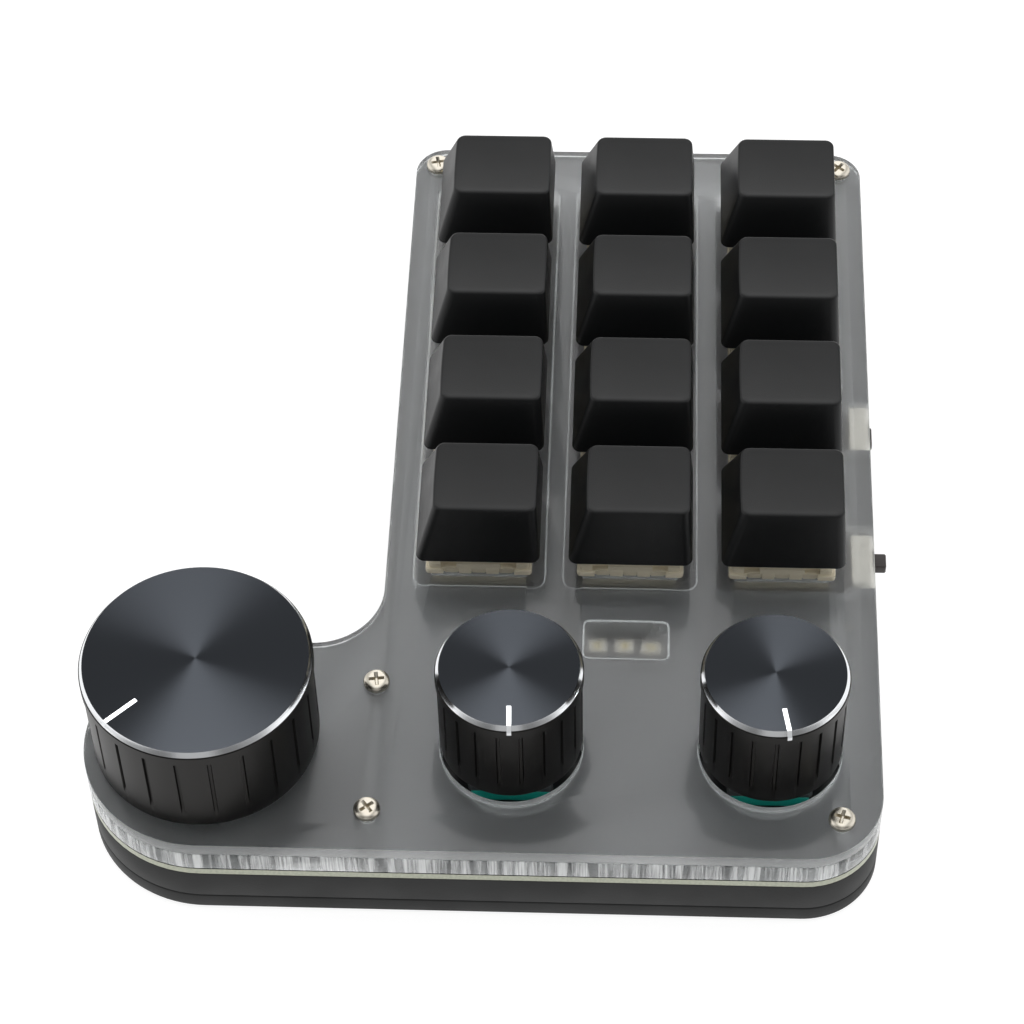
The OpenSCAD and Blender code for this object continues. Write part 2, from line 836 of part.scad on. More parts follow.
module usb_shell() {
    color("#c6c9cc") {
        translate([usb_x, y_rear - edge_back, z_pcb - usb_h / 2]) rotate([90, 0, 0]) difference() {
            linear_extrude(usb_l) usb_opening(0);
            translate([0, 0, -cut]) linear_extrude(usb_l - usb_back + cut) usb_opening(-usb_wall);
        }
        translate([0, 0, z_pcb - usb_h / 2]) linear_extrude(usb_h / 2 + pcb_t - slip) usb_tabs(0);
    }
}

module usb_tongue() {
    color("#1a1b1c") translate([usb_x, y_rear - edge_back - usb_l + usb_back, z_pcb - usb_h / 2])
        translate([-usb_tongue_size[0] / 2, 0, -usb_tongue_size[2] / 2]) cube(usb_tongue_size);
}

// ---------------------------------------------------------------- board and battery

module status_leds() {
    color("#fbfbf2") for (k = [-1:1])
        translate([window_at[0] - led_in, window_at[1] + k * led_pitch, z_spacer])
            block(led_size, 0, led_h);
}

module controller_chips() {
    color("#222426") for (chip = chips) translate(chip[0]) block(chip[1], z_pcb - chip[2], z_pcb);
}

module battery() {
    color("#9fa3a8") translate(concat(battery_at, [z_case])) linear_extrude(battery_t)
        round_rect([battery_l, battery_w], battery_r);
}

// Two short leads from the battery's end up to the board
module battery_leads() {
    end_x = battery_at[0] + battery_l / 2;
    lead_z = z_case + battery_t / 2;
    for (s = [-1, 1]) color(s > 0 ? "#b3261e" : "#141414")
        translate([end_x, battery_at[1] + s * lead_d, lead_z]) {
            rotate([0, 90, 0]) cylinder(d = lead_d, h = lead_l, $fn = 24);
            translate([lead_l, 0, 0]) sphere(d = lead_d, $fn = 24);
            translate([lead_l, 0, 0]) cylinder(d = lead_d, h = z_pcb - lead_z, $fn = 24);
        }
}

// ---------------------------------------------------------------- the assembly

top_plate();
clear_spacer();
circuit_board();
case_frame();
base_plate();
rubber_feet();
cover_screws();
standoffs();
base_screws();
switch_tops();
switch_bases();
switch_contacts();
key_springs();
for (i = [1:keys]) keycap(i);
for (i = [1:keys]) key_stem(i);
encoder_housings();
encoder_bases();
snap_domes();
for (i = [1:knobs]) encoder_rotor(i);
for (i = [1:knobs]) encoder_shaft(i);
big_knob();
front_knob();
rear_knob();
slide_switch_body();
slide_lever();
button_body();
button_plunger();
usb_shell();
usb_tongue();
status_leds();
controller_chips();
battery();
battery_leads();
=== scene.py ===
# %% [markdown]
# # A macro keypad with knobs, cell by cell
# The object is a small desk keypad: a sandwich of flat layers with twelve keys and three
# knobs on top. A fixed frame already holds every part at its real size. These cells give
# each part the shape and finish that the eye expects, without moving anything.

# %% Load the frame
import json
import math
import bpy
import bmesh
from mathutils import Matrix, Vector, geometry


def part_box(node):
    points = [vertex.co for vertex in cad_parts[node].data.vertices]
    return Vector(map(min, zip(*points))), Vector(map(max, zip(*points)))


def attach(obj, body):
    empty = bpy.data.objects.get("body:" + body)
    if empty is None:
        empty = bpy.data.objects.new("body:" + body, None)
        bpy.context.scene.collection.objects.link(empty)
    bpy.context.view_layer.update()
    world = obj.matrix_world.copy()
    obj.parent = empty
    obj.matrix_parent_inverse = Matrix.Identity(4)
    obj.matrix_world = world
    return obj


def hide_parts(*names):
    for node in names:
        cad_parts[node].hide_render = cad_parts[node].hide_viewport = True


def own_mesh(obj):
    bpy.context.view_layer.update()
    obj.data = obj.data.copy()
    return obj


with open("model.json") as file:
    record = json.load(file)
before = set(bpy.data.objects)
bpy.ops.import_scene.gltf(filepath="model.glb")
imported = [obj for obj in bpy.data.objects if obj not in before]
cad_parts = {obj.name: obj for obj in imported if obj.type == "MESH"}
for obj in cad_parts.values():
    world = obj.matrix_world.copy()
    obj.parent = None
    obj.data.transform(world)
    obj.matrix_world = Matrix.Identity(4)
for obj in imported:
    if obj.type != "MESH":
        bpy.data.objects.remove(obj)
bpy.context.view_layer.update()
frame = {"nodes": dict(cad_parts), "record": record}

# %% [markdown]
# ## Measures taken from the frame
# The plates, keys and knobs are placed by the frame's own boxes, so each piece lands on
# the part that it stands for. The cells below think in millimetres, as a drawing does,
# and MM turns them to metres once, when a mesh is written.

# %% Read the main levels and places
MM = 0.001


def box_mm(node):
    low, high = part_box(node)
    return low / MM, high / MM


def middle_mm(node):
    low, high = box_mm(node)
    return (low + high) / 2


plate_low, plate_high = box_mm("top_plate")
spacer_low, spacer_high = box_mm("clear_spacer")
PLATE_TOP = plate_high.z
BOARD_TOP = spacer_low.z
KEY_COUNT = sum(name.startswith("keycap_") for name in frame["nodes"])
key_places = [middle_mm(f"key_stem_{i + 1}") for i in range(KEY_COUNT)]
ROW_COUNT = len({round(place.y, 1) for place in key_places})
KNOBS = ("big_knob", "front_knob", "rear_knob")
knob_places = [middle_mm(f"encoder_rotor_{i + 1}") for i in range(len(KNOBS))]
print("plate top at", round(PLATE_TOP, 2), "mm;", KEY_COUNT, "keys in", ROW_COUNT, "rows")

# %% [markdown]
# ## Camera
# A product shot is taken from a long way off with a long lens, which keeps the layers
# nearly parallel. The camera looks down the length of the keypad from the knob end, about
# half-way between the side and the top, and is turned a little about its own axis.

# %% Set up the camera
AIM = Vector((27.155, -17.766, PLATE_TOP))
CAMERA_AZIMUTH = math.radians(3.504)
CAMERA_HEIGHT = math.radians(51.993)
CAMERA_ROLL = math.radians(-1.709)
CAMERA_DISTANCE = 485.56
LENS_MM = 114.5

back = Vector((
    math.cos(CAMERA_AZIMUTH) * math.cos(CAMERA_HEIGHT),
    math.sin(CAMERA_AZIMUTH) * math.cos(CAMERA_HEIGHT),
    math.sin(CAMERA_HEIGHT),
))
level = (-back).cross(Vector((0, 0, 1))).normalized()
upright = level.cross(-back)
across = math.cos(CAMERA_ROLL) * level + math.sin(CAMERA_ROLL) * upright
upward = math.cos(CAMERA_ROLL) * upright - math.sin(CAMERA_ROLL) * level
camera = bpy.data.objects.new("camera", bpy.data.cameras.new("camera"))
camera.data.lens = LENS_MM
placing = Matrix((across, upward, back)).transposed().to_4x4()
placing.translation = (AIM + CAMERA_DISTANCE * back) * MM
camera.matrix_world = placing
bpy.context.scene.collection.objects.link(camera)
bpy.context.scene.camera = camera
print("camera at", [round(x, 3) for x in placing.translation], "m")

# %% [markdown]
# ## Colour and nodes
# Colours are written as the sRGB hex values that a paint chart would give. Blender's
# shaders work in linear light, so one function converts them. Another adds a node, sets
# its values and links its inputs, which keeps each material recipe short. Nearly every
# surface has a grain, whose blotches are sized in millimetres on the piece itself.

# %% Helpers for materials


def linear(hex_colour):
    channels = [int(hex_colour[i:i + 2], 16) / 255 for i in (1, 3, 5)]
    return [c / 12.92 if c <= 0.04045 else ((c + 0.055) / 1.055) ** 2.4 for c in channels] + [1]


def add_node(tree, kind, settings=None, links=None):
    node = tree.nodes.new("ShaderNode" + kind)
    for name, value in (settings or {}).items():
        if isinstance(name, int) or name in node.inputs:
            node.inputs[name].default_value = value
        else:
            setattr(node, name, value)
    for name, source in (links or {}).items():
        tree.links.new(source, node.inputs[name])
    return node


def new_material(name, colour, roughness, metallic=0.0, **sockets):
    material = bpy.data.materials.new(name)
    material.use_nodes = True
    material.diffuse_color = linear(colour)
    tree = material.node_tree
    shader = tree.nodes["Principled BSDF"]
    shader.inputs["Base Color"].default_value = linear(colour)
    shader.inputs["Roughness"].default_value = roughness
    shader.inputs["Metallic"].default_value = metallic
    for socket, value in sockets.items():
        shader.inputs[socket.replace("_", " ")].default_value = value
    return material, tree, shader


def grain(tree, shader, size_mm, depth_mm, strength=1.0, detail=2.0, stretch=(1, 1, 1)):
    """Roughens a surface with blotches of a real size, and gives their place and pattern."""
    on_piece = add_node(tree, "TexCoord").outputs["Object"]
    place = add_node(tree, "Mapping", {"Scale": [s / MM for s in stretch]}, {"Vector": on_piece}).outputs[0]
    blotches = add_node(tree, "TexNoise", {"Scale": 1 / size_mm, "Detail": detail}, {"Vector": place})
    pattern = blotches.outputs[0]
    relief = add_node(tree, "Bump", {"Strength": strength, "Distance": depth_mm * MM}, {"Height": pattern})
    tree.links.new(relief.outputs[0], shader.inputs["Normal"])
    return place, pattern


print("material helpers ready")

# %% [markdown]
# ## Moulded plastics
# Most small plastic parts share one recipe: a base colour, a fine grain left by the
# mould's spark-eroded wall, and a slow drift in gloss where the melt cooled unevenly or
# fingers have polished it. The grain could be displaced in the mesh, but at a fifth of a
# millimetre a bump is enough and costs nothing.

# %% Recipe for moulded plastic
GLOSS_PATCH_MM = 9.0
GLOSS_DRIFT = 0.05


def moulded(name, colour, roughness, grain_mm, depth_mm, **sockets):
    material, tree, shader = new_material(name, colour, roughness, **sockets)
    place, _ = grain(tree, shader, grain_mm, depth_mm)
    patches = add_node(tree, "TexNoise", {"Scale": 1 / GLOSS_PATCH_MM, "Detail": 2.0}, {"Vector": place})
    gloss = add_node(tree, "MapRange", {
        "From Min": 0.3, "From Max": 0.7,
        "To Min": roughness - GLOSS_DRIFT, "To Max": roughness + GLOSS_DRIFT,
    }, {"Value": patches.outputs[0]})
    tree.links.new(gloss.outputs[0], shader.inputs["Roughness"])
    return material


PBT = moulded("pbt_black_moulded", "#0e0f10", 0.4, 0.16, 0.02, IOR=1.55, Specular_IOR_Level=0.25)
ABS = moulded("abs_black_textured", "#131414", 0.58, 0.22, 0.03, IOR=1.5, Specular_IOR_Level=0.35)
NYLON = moulded("nylon_cream_moulded", "#e3dac2", 0.4, 0.3, 0.01, IOR=1.53)
# The stems' brown acetal also paints shade onto the walls of the switch tops' clip recesses.
BROWN_ACETAL_AND_RECESS_SHADE = moulded("acetal_brown_moulded_and_recess_shade", "#6e3226", 0.35, 0.3, 0.01, IOR=1.48)
BLACK_ACETAL = moulded("acetal_black_moulded", "#2a2422", 0.4, 0.25, 0.01, IOR=1.48)
PHENOLIC = moulded("phenolic_teal_moulded", "#1cc7b4", 0.42, 0.25, 0.01, IOR=1.6)
CHIP_EPOXY = moulded("epoxy_black_moulded", "#222426", 0.55, 0.12, 0.02, IOR=1.55)
RUBBER = moulded("rubber_black_moulded", "#141414", 0.75, 0.2, 0.03, IOR=1.52)
RED_PVC = moulded("pvc_red_extruded", "#b3261e", 0.35, 0.5, 0.01, IOR=1.54)
LED_BODY = moulded("polyamide_white_moulded", "#faf7ea", 0.35, 0.3, 0.01, IOR=1.53)
LED_RESIN = moulded("silicone_yellow_cast", "#e8d37a", 0.25, 0.3, 0.01, IOR=1.41)
print("moulded plastics ready")

# %% [markdown]
# ## Acrylic sheet
# The cover is frosted acrylic: a satin top face and a blasted underside. The blasted
# face scatters what comes through it, so a rim that touches it stays sharp and a part
# that lies deeper is a blur. The layer under it is plain clear acrylic. The laser leaves
# its outer edge glossy but finely ribbed, melts a light line along the rims of its
# holes, and the face laid on the board keeps a thin grey haze. All of these are true
# refracting solids here, because a painted-on blur would slide when the view moves.
# Each face has a material of its own, since each was made in its own way. A little
# emission on the rims is painted light: a glow painted on the pale melted rims, for the
# light that a sheet pipes to its cut edges.

# %% Frosted and clear acrylic
ACRYLIC_IOR = 1.49
FROST_GRAIN_MM = 0.12
RIB_MM = 0.28
RIB_BLOCK_MM = 1.3
# The ribs of a cut run across the sheet, so their pattern is drawn out along z.
FROSTED_RIBS, CLEAR_RIBS = (1, 1, 0.05), (1, 1, 0.04)


def acrylic(name, colour, roughness, clarity, **sockets):
    """A refracting solid; what its clarity lacks to 1 is a white haze."""
    return new_material(name, colour, roughness, IOR=ACRYLIC_IOR, Transmission_Weight=clarity, **sockets)


def frosted_sheet(name, roughness):
    material, tree, shader = acrylic(name, "#fcfdfe", roughness, 0.98, Specular_IOR_Level=0.36)
    grain(tree, shader, FROST_GRAIN_MM, 0.01, strength=0.3)
    return material


def frosted_cut(name, clarity):
    material, tree, shader = acrylic(name, "#eef1f1", 0.2, clarity)
    grain(tree, shader, RIB_MM, 0.05, strength=0.6, stretch=FROSTED_RIBS)
    return material


def clear_cut():
    material, tree, shader = acrylic("acrylic_clear_laser_cut", "#fbfdfd", 0.12, 0.8)
    place, ribs = grain(tree, shader, RIB_MM, 0.1, detail=1.0, stretch=CLEAR_RIBS)
    blocks = add_node(tree, "TexNoise", {"Scale": 1 / RIB_BLOCK_MM, "Detail": 3.0}, {"Vector": place})
    frost = add_node(tree, "Math", {"operation": "MULTIPLY_ADD", 1: 0.5}, {0: ribs, 2: blocks.outputs[0]})
    clear = add_node(tree, "MapRange", {"From Min": 0.62, "From Max": 0.92, "To Min": 1.0, "To Max": 0.4},
                     {"Value": frost.outputs[0]})
    tree.links.new(clear.outputs[0], shader.inputs["Transmission Weight"])
    return material


SATIN = frosted_sheet("acrylic_satin_cast", 0.15)
FROSTED = frosted_sheet("acrylic_frosted_blasted", 0.5)
FROSTED_CUT = frosted_cut("acrylic_frosted_laser_cut", 0.85)
FROSTED_BORED = frosted_cut("acrylic_frosted_bored", 0.6)
CLEAR = acrylic("acrylic_clear_cast", "#f6fafa", 0.02, 1.0)[0]
CLEAR_CUT = clear_cut()
CLEAR_BORED = acrylic("acrylic_clear_bored", "#f3f6f5", 0.3, 0.75)[0]
CLEAR_LAID = acrylic("acrylic_clear_laid", "#eef2f5", 0.3, 0.93)[0]
# The burnt rims are a pale haze plus a painted glow from a little emission.
CLEAR_RIM_PAINTED_GLOW = acrylic("acrylic_clear_burnt_rim_painted_glow", "#f6f9f8", 0.35, 0.1,
                    Emission_Color=linear("#e8eeee"), Emission_Strength=0.1)[0]
print("acrylic ready")

# %% [markdown]
# ## Circuit board
# The board is woven glass in epoxy. Its faces carry a black solder mask with a soft
# gloss, and its routed edge shows the pale green-cream laminate. One material tells the
# two apart by the direction that the surface faces, so the part itself needs no change.

# %% Glass-epoxy laminate
WEAVE_MM = 0.4
SOLDER_MASK = "#17191b"
GLASS_DARK, GLASS_LIGHT = "#8f9480", "#c2c4b0"


def laminate():
    material, tree, shader = new_material("glass_epoxy_masked", SOLDER_MASK, 0.3, IOR=1.55)
    facing = add_node(tree, "SeparateXYZ", links={"Vector": add_node(tree, "NewGeometry").outputs["Normal"]})
    slope = add_node(tree, "Math", {"operation": "ABSOLUTE"}, {0: facing.outputs["Z"]})
    is_edge = add_node(tree, "Math", {"operation": "LESS_THAN", 1: 0.5}, {0: slope.outputs[0]})
    _, weave = grain(tree, shader, WEAVE_MM, 0.01, detail=1.0)
    glass = add_node(tree, "Mix", {"data_type": "RGBA", 6: linear(GLASS_DARK), 7: linear(GLASS_LIGHT)},
                     {0: weave})
    colour = add_node(tree, "Mix", {"data_type": "RGBA", 6: linear(SOLDER_MASK)},
                      {0: is_edge.outputs[0], 7: glass.outputs[2]})
    tree.links.new(colour.outputs[2], shader.inputs["Base Color"])
    return material


LAMINATE = laminate()
print("laminate ready")

# %% [markdown]
# ## Metals
# The knobs are turned from aluminium and dyed black by anodising. Their top faces are
# spun: a cutter leaves rings so fine that the highlight stretches across them into a
# bright hour-glass. That is what anisotropic reflection does. Its tangent runs round the
# axis, and a quarter turn of the anisotropy makes the highlight run out along the radius.
# The rim is cut again after dyeing, so bare metal shines there. The rings could be
# modelled, but even at this size they are finer than one pixel of the picture.

# %% Metal recipes
METAL_GRAIN_MM, METAL_GRAIN_DEEP_MM = 0.3, 0.004


def metal(name, colour, roughness):
    material, tree, shader = new_material(name, colour, roughness, metallic=1.0)
    grain(tree, shader, METAL_GRAIN_MM, METAL_GRAIN_DEEP_MM)
    return material


def spun_aluminium():
    material, tree, shader = new_material(
        "aluminium_anodised_spun", "#25272a", 0.22, metallic=1.0, Anisotropic=0.97, Anisotropic_Rotation=0.25)
    tangent = add_node(tree, "Tangent", {"direction_type": "RADIAL", "axis": "Z"})
    tree.links.new(tangent.outputs[0], shader.inputs["Tangent"])
    return material


SPUN = spun_aluminium()
ANODISED = metal("aluminium_anodised_black", "#292827", 0.4)
DIAMOND_CUT = metal("aluminium_diamond_cut", "#e6e8ea", 0.14)
MILLED_LINE = metal("aluminium_milled_line", "#e8eaec", 0.45)
NICKEL = metal("steel_nickel_plated", "#cfc9bc", 0.27)
BRASS = metal("brass_turned", "#c9a452", 0.28)
COPPER = metal("copper_alloy_stamped", "#c58f3e", 0.3)
SPRING_STEEL = metal("steel_spring_wire", "#b9bdc0", 0.25)
ZINC = metal("zinc_die_cast", "#a9acb0", 0.36)
FOIL = metal("aluminium_foil_laminate", "#9fa3a8", 0.35)
print("metals ready")

# %% [markdown]
# ## Outlines
# Flat layers are cut from sheet along an outline. An outline here is a list of corners,
# each with its own radius, and the radii become arcs, which is how a draughtsman would
# dimension it. Drawing a line in by a distance makes the small rounds on the edges.

# %% Outline helpers


def rounded(corners, steps=10):
    """Turns (x, y, radius) corners into a closed line with an arc at each corner."""
    line = []
    for i, (x, y, radius) in enumerate(corners):
        corner = Vector((x, y))
        if not radius:
            line.append(corner)
            continue
        to_last = (Vector(corners[i - 1][:2]) - corner).normalized()
        to_next = (Vector(corners[(i + 1) % len(corners)][:2]) - corner).normalized()
        half = to_last.angle(to_next) / 2
        centre = corner + (to_last + to_next).normalized() * radius / math.sin(half)
        start = corner + to_last * radius / math.tan(half) - centre
        end = corner + to_next * radius / math.tan(half) - centre
        sweep = -start.angle_signed(end)
        line += [centre + Matrix.Rotation(sweep * k / steps, 2) @ start for k in range(steps + 1)]
    return [p for p, q in zip(line, line[1:] + line[:1]) if (p - q).length > 1e-4]


def quarter_turns(steps):
    """The angles of a small round, from none to a quarter turn."""
    return [math.pi / 2 * k / steps for k in range(steps + 1)]


def circle(x, y, radius, count):
    turn = 2 * math.pi / count
    return [Vector((x + radius * math.cos(turn * k), y + radius * math.sin(turn * k))) for k in range(count)]


def rectangle(x, y, width, depth, radius, steps=6):
    right, top = x + width / 2, y + depth / 2
    left, bottom = x - width / 2, y - depth / 2
    return rounded([(left, bottom, radius), (right, bottom, radius),
                    (right, top, radius), (left, top, radius)], steps)


def signed_area(line):
    return sum(a.x * b.y - b.x * a.y for a, b in zip(line, line[1:] + line[:1])) / 2


def drawn_in(line, distance):
    """Moves a closed line to its left by a distance, with mitred corners."""
    moved = []
    for i, point in enumerate(line):
        before = (point - line[i - 1]).normalized()
        after = (line[(i + 1) % len(line)] - point).normalized()
        left = Vector((-before.y - after.y, before.x + after.x)).normalized()
        mitre = max(0.5, left.dot(Vector((-before.y, before.x))))
        moved.append(point + left * distance / mitre)
    return moved


print("outline helpers ready")

# %% [markdown]
# ## Meshes
# Three ways make nearly every piece. A slab is an outline with holes, given a thickness
# and a small round along its rims, because that round is what catches the light on a real
# cut edge. A loft joins rings of points. A turned part is a profile taken about an axis.
# Blender's Bevel modifier could round the slabs, but rounding by formula keeps the many
# holes clean. A slab takes up to five materials, because the faces of a cut sheet differ.

# %% Write a mesh
RIM_STEPS = 3


def mesh_piece(name, verts, faces, materials, indices=None, smooth=True):
    """Writes a mesh given in millimetres."""
    mesh = bpy.data.meshes.new(name)
    mesh.from_pydata([Vector(v) * MM for v in verts], [], faces)
    for material in materials:
        mesh.materials.append(material)
    if indices:
        mesh.polygons.foreach_set("material_index", indices)
    flags = smooth if isinstance(smooth, list) else [smooth] * len(mesh.polygons)
    mesh.polygons.foreach_set("use_smooth", flags)
    mesh.update()
    piece = bpy.data.objects.new(name, mesh)
    bpy.context.scene.collection.objects.link(piece)
    return piece


def crisp(piece, angle=35):
    """Keeps smooth shading, but not across edges sharper than an angle."""
    piece.data.set_sharp_from_angle(angle=math.radians(angle))
    return piece


def round_levels(low, high, edge):
    """(height, inset) pairs up the side of a slab whose two rims are rounded."""
    foot = [(low + edge * (1 - math.cos(t)), edge * (1 - math.sin(t))) for t in quarter_turns(RIM_STEPS)]
    return foot + [(high + low - z, inset) for z, inset in reversed(foot)]


def slab(name, loops, low, high, materials, edge=0.15):
    """A flat layer: an outline and its holes.

    The materials are those of the top, the edge, the hole walls, the underside and the
    upper rims of the holes, in this order; where the list is shorter, the top's or the
    walls' own material serves.
    """
    verts, faces, indices = [], [], []
    levels = round_levels(low, high, edge)
    middle = (low + high) / 2
    rims = ([], [])
    for number, loop in enumerate(loops):
        if (signed_area(loop) > 0) != (number == 0):
            loop = loop[::-1]
        first, size = len(verts), len(loop)
        wall = min(1 if number == 0 else 2, len(materials) - 1)
        rim = 4 if number and len(materials) > 4 else wall
        for r in range(len(levels) - 1):
            indices += [rim if r >= len(levels) / 2 else wall] * size
        for z, inset in levels:
            verts += [(p.x, p.y, z) for p in drawn_in(loop, inset)]
        for r in range(len(levels) - 1):
            for k in range(size):
                a, b = first + r * size + k, first + r * size + (k + 1) % size
                faces.append((a, b, b + size, a + size))
        rims[0].append(range(first, first + size))
        rims[1].append(range(first + (len(levels) - 1) * size, len(verts)))
    sides = len(faces)
    for top, rows in enumerate(rims):
        flat = [i for row in rows for i in row]
        for triangle in geometry.tessellate_polygon([[Vector(verts[i]) for i in row] for row in rows]):
            a, b, c = (flat[i] for i in triangle)
            along, beside = (Vector(verts[corner]) - Vector(verts[a]) for corner in (b, c))
            faces.append((a, b, c) if (along.cross(beside).z > 0) == bool(top) else (a, c, b))
    caps = len(faces) - sides
    underside = min(3, len(materials) - 1) if len(materials) > 3 else 0
    indices += [0 if verts[face[0]][2] > middle else underside for face in faces[sides:]]
    smooth = [True] * sides + [False] * caps
    return crisp(mesh_piece(name, verts, faces, materials, indices, smooth))


def ring_faces(count, size):
    """The faces between rings of points in order, with a cap on the first and the last."""
    faces = [(r * size + k, r * size + (k + 1) % size, (r + 1) * size + (k + 1) % size, (r + 1) * size + k)
             for r in range(count - 1) for k in range(size)]
    return faces + [tuple(range(size))[::-1], tuple(range((count - 1) * size, count * size))]


def loft(name, rings, materials):
    """Rings of points with one count each, joined in order; the ends are closed with caps."""
    verts = [point for ring in rings for point in ring]
    return crisp(mesh_piece(name, verts, ring_faces(len(rings), len(rings[0])), materials))


def turned(name, profile, materials, count):
    """A (radius, z) profile taken once about the z axis; a radius of 0 closes it to a point."""
    verts, faces, rows = [], [], []
    turn = 2 * math.pi / count
    for radius, z in profile:
        ring = [(radius * math.cos(turn * k), radius * math.sin(turn * k), z) for k in range(count)]
        ring = ring if radius else [(0, 0, z)]
        rows.append(range(len(verts), len(verts) + len(ring)))
        verts += ring
    for lower, upper in zip(rows, rows[1:]):
        for k in range(count):
            corners = (lower[k % len(lower)], lower[(k + 1) % len(lower)],
                       upper[(k + 1) % len(upper)], upper[k % len(upper)])
            faces.append(tuple(dict.fromkeys(corners)))
    return crisp(mesh_piece(name, verts, faces, materials))


print("mesh helpers ready")

# %% [markdown]
# ## Joining, carving and placing
# Small pieces are often several simple shapes, so one helper joins meshes and another
# carves one out of another with Blender's exact Boolean. The last ones put a piece in a
# part's place: it rides on the same body and hides the plain part. A part whose shape is
# already right keeps it and only gets a finish.

# %% Join, carve and dress
# A hair is a round too small to see, and a cutter runs a little past the face that it opens.
HAIR = 0.01
CUT_PAST = 1.0


def joined(name, pieces):
    """One object from several, each face keeping its material."""
    whole = bmesh.new()
    materials = []
    for piece in pieces:
        for material in piece.data.materials:
            if material not in materials:
                materials.append(material)
        order = [materials.index(material) for material in piece.data.materials]
        piece.data.transform(piece.matrix_basis)
        for polygon in piece.data.polygons:
            polygon.material_index = order[polygon.material_index]
        whole.from_mesh(piece.data)
        bpy.data.objects.remove(piece)
    mesh = bpy.data.meshes.new(name)
    whole.to_mesh(mesh)
    whole.free()
    for material in materials:
        mesh.materials.append(material)
    joined_piece = bpy.data.objects.new(name, mesh)
    bpy.context.scene.collection.objects.link(joined_piece)
    return joined_piece


def cutter(loop, low, high, material):
    """A slab to carve with. The faces that it leaves behind take its material."""
    return slab("cutter", [loop], low, high, [material], HAIR)


def carved(piece, *cutters):
    """Takes the cutters' shapes out of a piece."""
    for cutter_piece in cutters:
        modifier = piece.modifiers.new("carve", "BOOLEAN")
        modifier.object = cutter_piece
        modifier.solver = "EXACT"
    graph = bpy.context.evaluated_depsgraph_get()
    mesh = bpy.data.meshes.new_from_object(piece.evaluated_get(graph))
    piece.modifiers.clear()
    piece.data = mesh
    for cutter_piece in cutters:
        bpy.data.objects.remove(cutter_piece)
    return crisp(piece)


record = frame["record"]
body_of_node = {node: body for body, nodes in record["behaviour"]["bodies"].items() for node in nodes}


def dress(piece, node):
    """Lets a piece stand for a part: same body, and the part is hidden."""
    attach(piece, body_of_node[node])
    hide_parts(node)


def copies(piece, name, places, z, node, turns=None):
    """Dresses a part with a copy of a piece at each place; # in a name is the copy's number."""
    made = []
    for i, place in enumerate(places):
        number = str(i + 1)
        one = bpy.data.objects.new(name.replace("#", number), piece.data)
        one.location = Vector((place.x, place.y, z)) * MM
        one.rotation_euler.z = math.radians(turns[i]) if turns else 0
        bpy.context.scene.collection.objects.link(one)
        dress(one, node.replace("#", number))
        made.append(one)
    bpy.data.objects.remove(piece)
    return made


def finish_part(node, material):
    """Gives a part that keeps its own shape a finish."""
    part = frame["nodes"][node]
    for slot in part.material_slots:
        slot.material = material


print("dressing helpers ready")

# %% [markdown]
# ## The plates' outline
# All the layers share one outline: an oblong with a round lobe for the big knob, and a
# hollow round where the two meet. The oblong's size comes from the frame. The radii are
# those of the drawing.

# %% Draw the outline
CORNER_R = 5
END_CORNER_R = 11
INNER_R = 10
LOBE_W = 35
REAR_Y = plate_high.y
FRONT_Y = -REAR_Y
LEFT_X, RIGHT_X = plate_low.x, plate_high.x
LOBE_END_Y = plate_low.y

outline_left = [(LEFT_X, FRONT_Y, CORNER_R), (RIGHT_X - LOBE_W, FRONT_Y, INNER_R)]
outline_lobe = [(RIGHT_X - LOBE_W, LOBE_END_Y, LOBE_W / 2), (RIGHT_X, LOBE_END_Y, LOBE_W / 2)]
outline_right = [(RIGHT_X, REAR_Y, END_CORNER_R)]
outline_rear = [(LEFT_X, REAR_Y, CORNER_R)]
outline = rounded(outline_left + outline_lobe + outline_right + outline_rear, 24)
print("outline of", len(outline), "points,", round(signed_area(outline)), "mm2")

# %% [markdown]
# ## Holes
# The screws pass through every layer, and the knobs' encoders through the two acrylic
# ones. The screws' places are read from the frame's own screws by grouping their points.

# %% Find the screws
SCREW_HOLE_R = 1.15
ENCODER_HOLE_R = 10.1


def island_middles(node):
    """The middles of a part's separate solids, in millimetres."""
    solid = bmesh.new()
    solid.from_mesh(frame["nodes"][node].data)
    bmesh.ops.remove_doubles(solid, verts=solid.verts, dist=0.01 * MM)
    waiting = set(solid.verts)
    middles = []
    while waiting:
        island, edge_of_island = set(), [waiting.pop()]
        while edge_of_island:
            vert = edge_of_island.pop()
            island.add(vert)
            for edge in vert.link_edges:
                other = edge.other_vert(vert)
                if other in waiting:
                    waiting.discard(other)
                    edge_of_island.append(other)
        low = Vector([min(v.co[axis] for v in island) for axis in range(3)])
        high = Vector([max(v.co[axis] for v in island) for axis in range(3)])
        middles.append((low + high) / 2 / MM)
    solid.free()
    return sorted(middles, key=lambda p: (round(p.x), round(p.y)))


screw_places = island_middles("cover_screws")
screw_holes = [circle(p.x, p.y, SCREW_HOLE_R, 32) for p in screw_places]
encoder_holes = [circle(p.x, p.y, ENCODER_HOLE_R, 96) for p in knob_places]
print("screws at", [(round(p.x, 1), round(p.y, 1)) for p in screw_places])

# %% [markdown]
# ## Frosted top plate
# The switches clip into square holes in this plate, with a tenth of a millimetre to
# spare. A laser cuts it, which melts the edge to a gloss, so the sides of the plate and
# the walls of its holes have a finish of their own and catch the light as bright lines.
# Booleans could cut the holes one by one. Drawn as loops of one slab, each hole gets its
# walls and rims at once, and the face between them stays flat.

# %% Make the top plate
SWITCH_HOLE = 14.0
CUT_R = 0.2

switch_holes = [rectangle(p.x, p.y, SWITCH_HOLE, SWITCH_HOLE, CUT_R) for p in key_places]
top_plate = slab("top_plate_dressed", [outline] + switch_holes + encoder_holes + screw_holes,
                 plate_low.z, plate_high.z, [SATIN, FROSTED_CUT, FROSTED_BORED, FROSTED], edge=0.12)
dress(top_plate, "top_plate")
print("top plate:", len(top_plate.data.polygons), "faces")

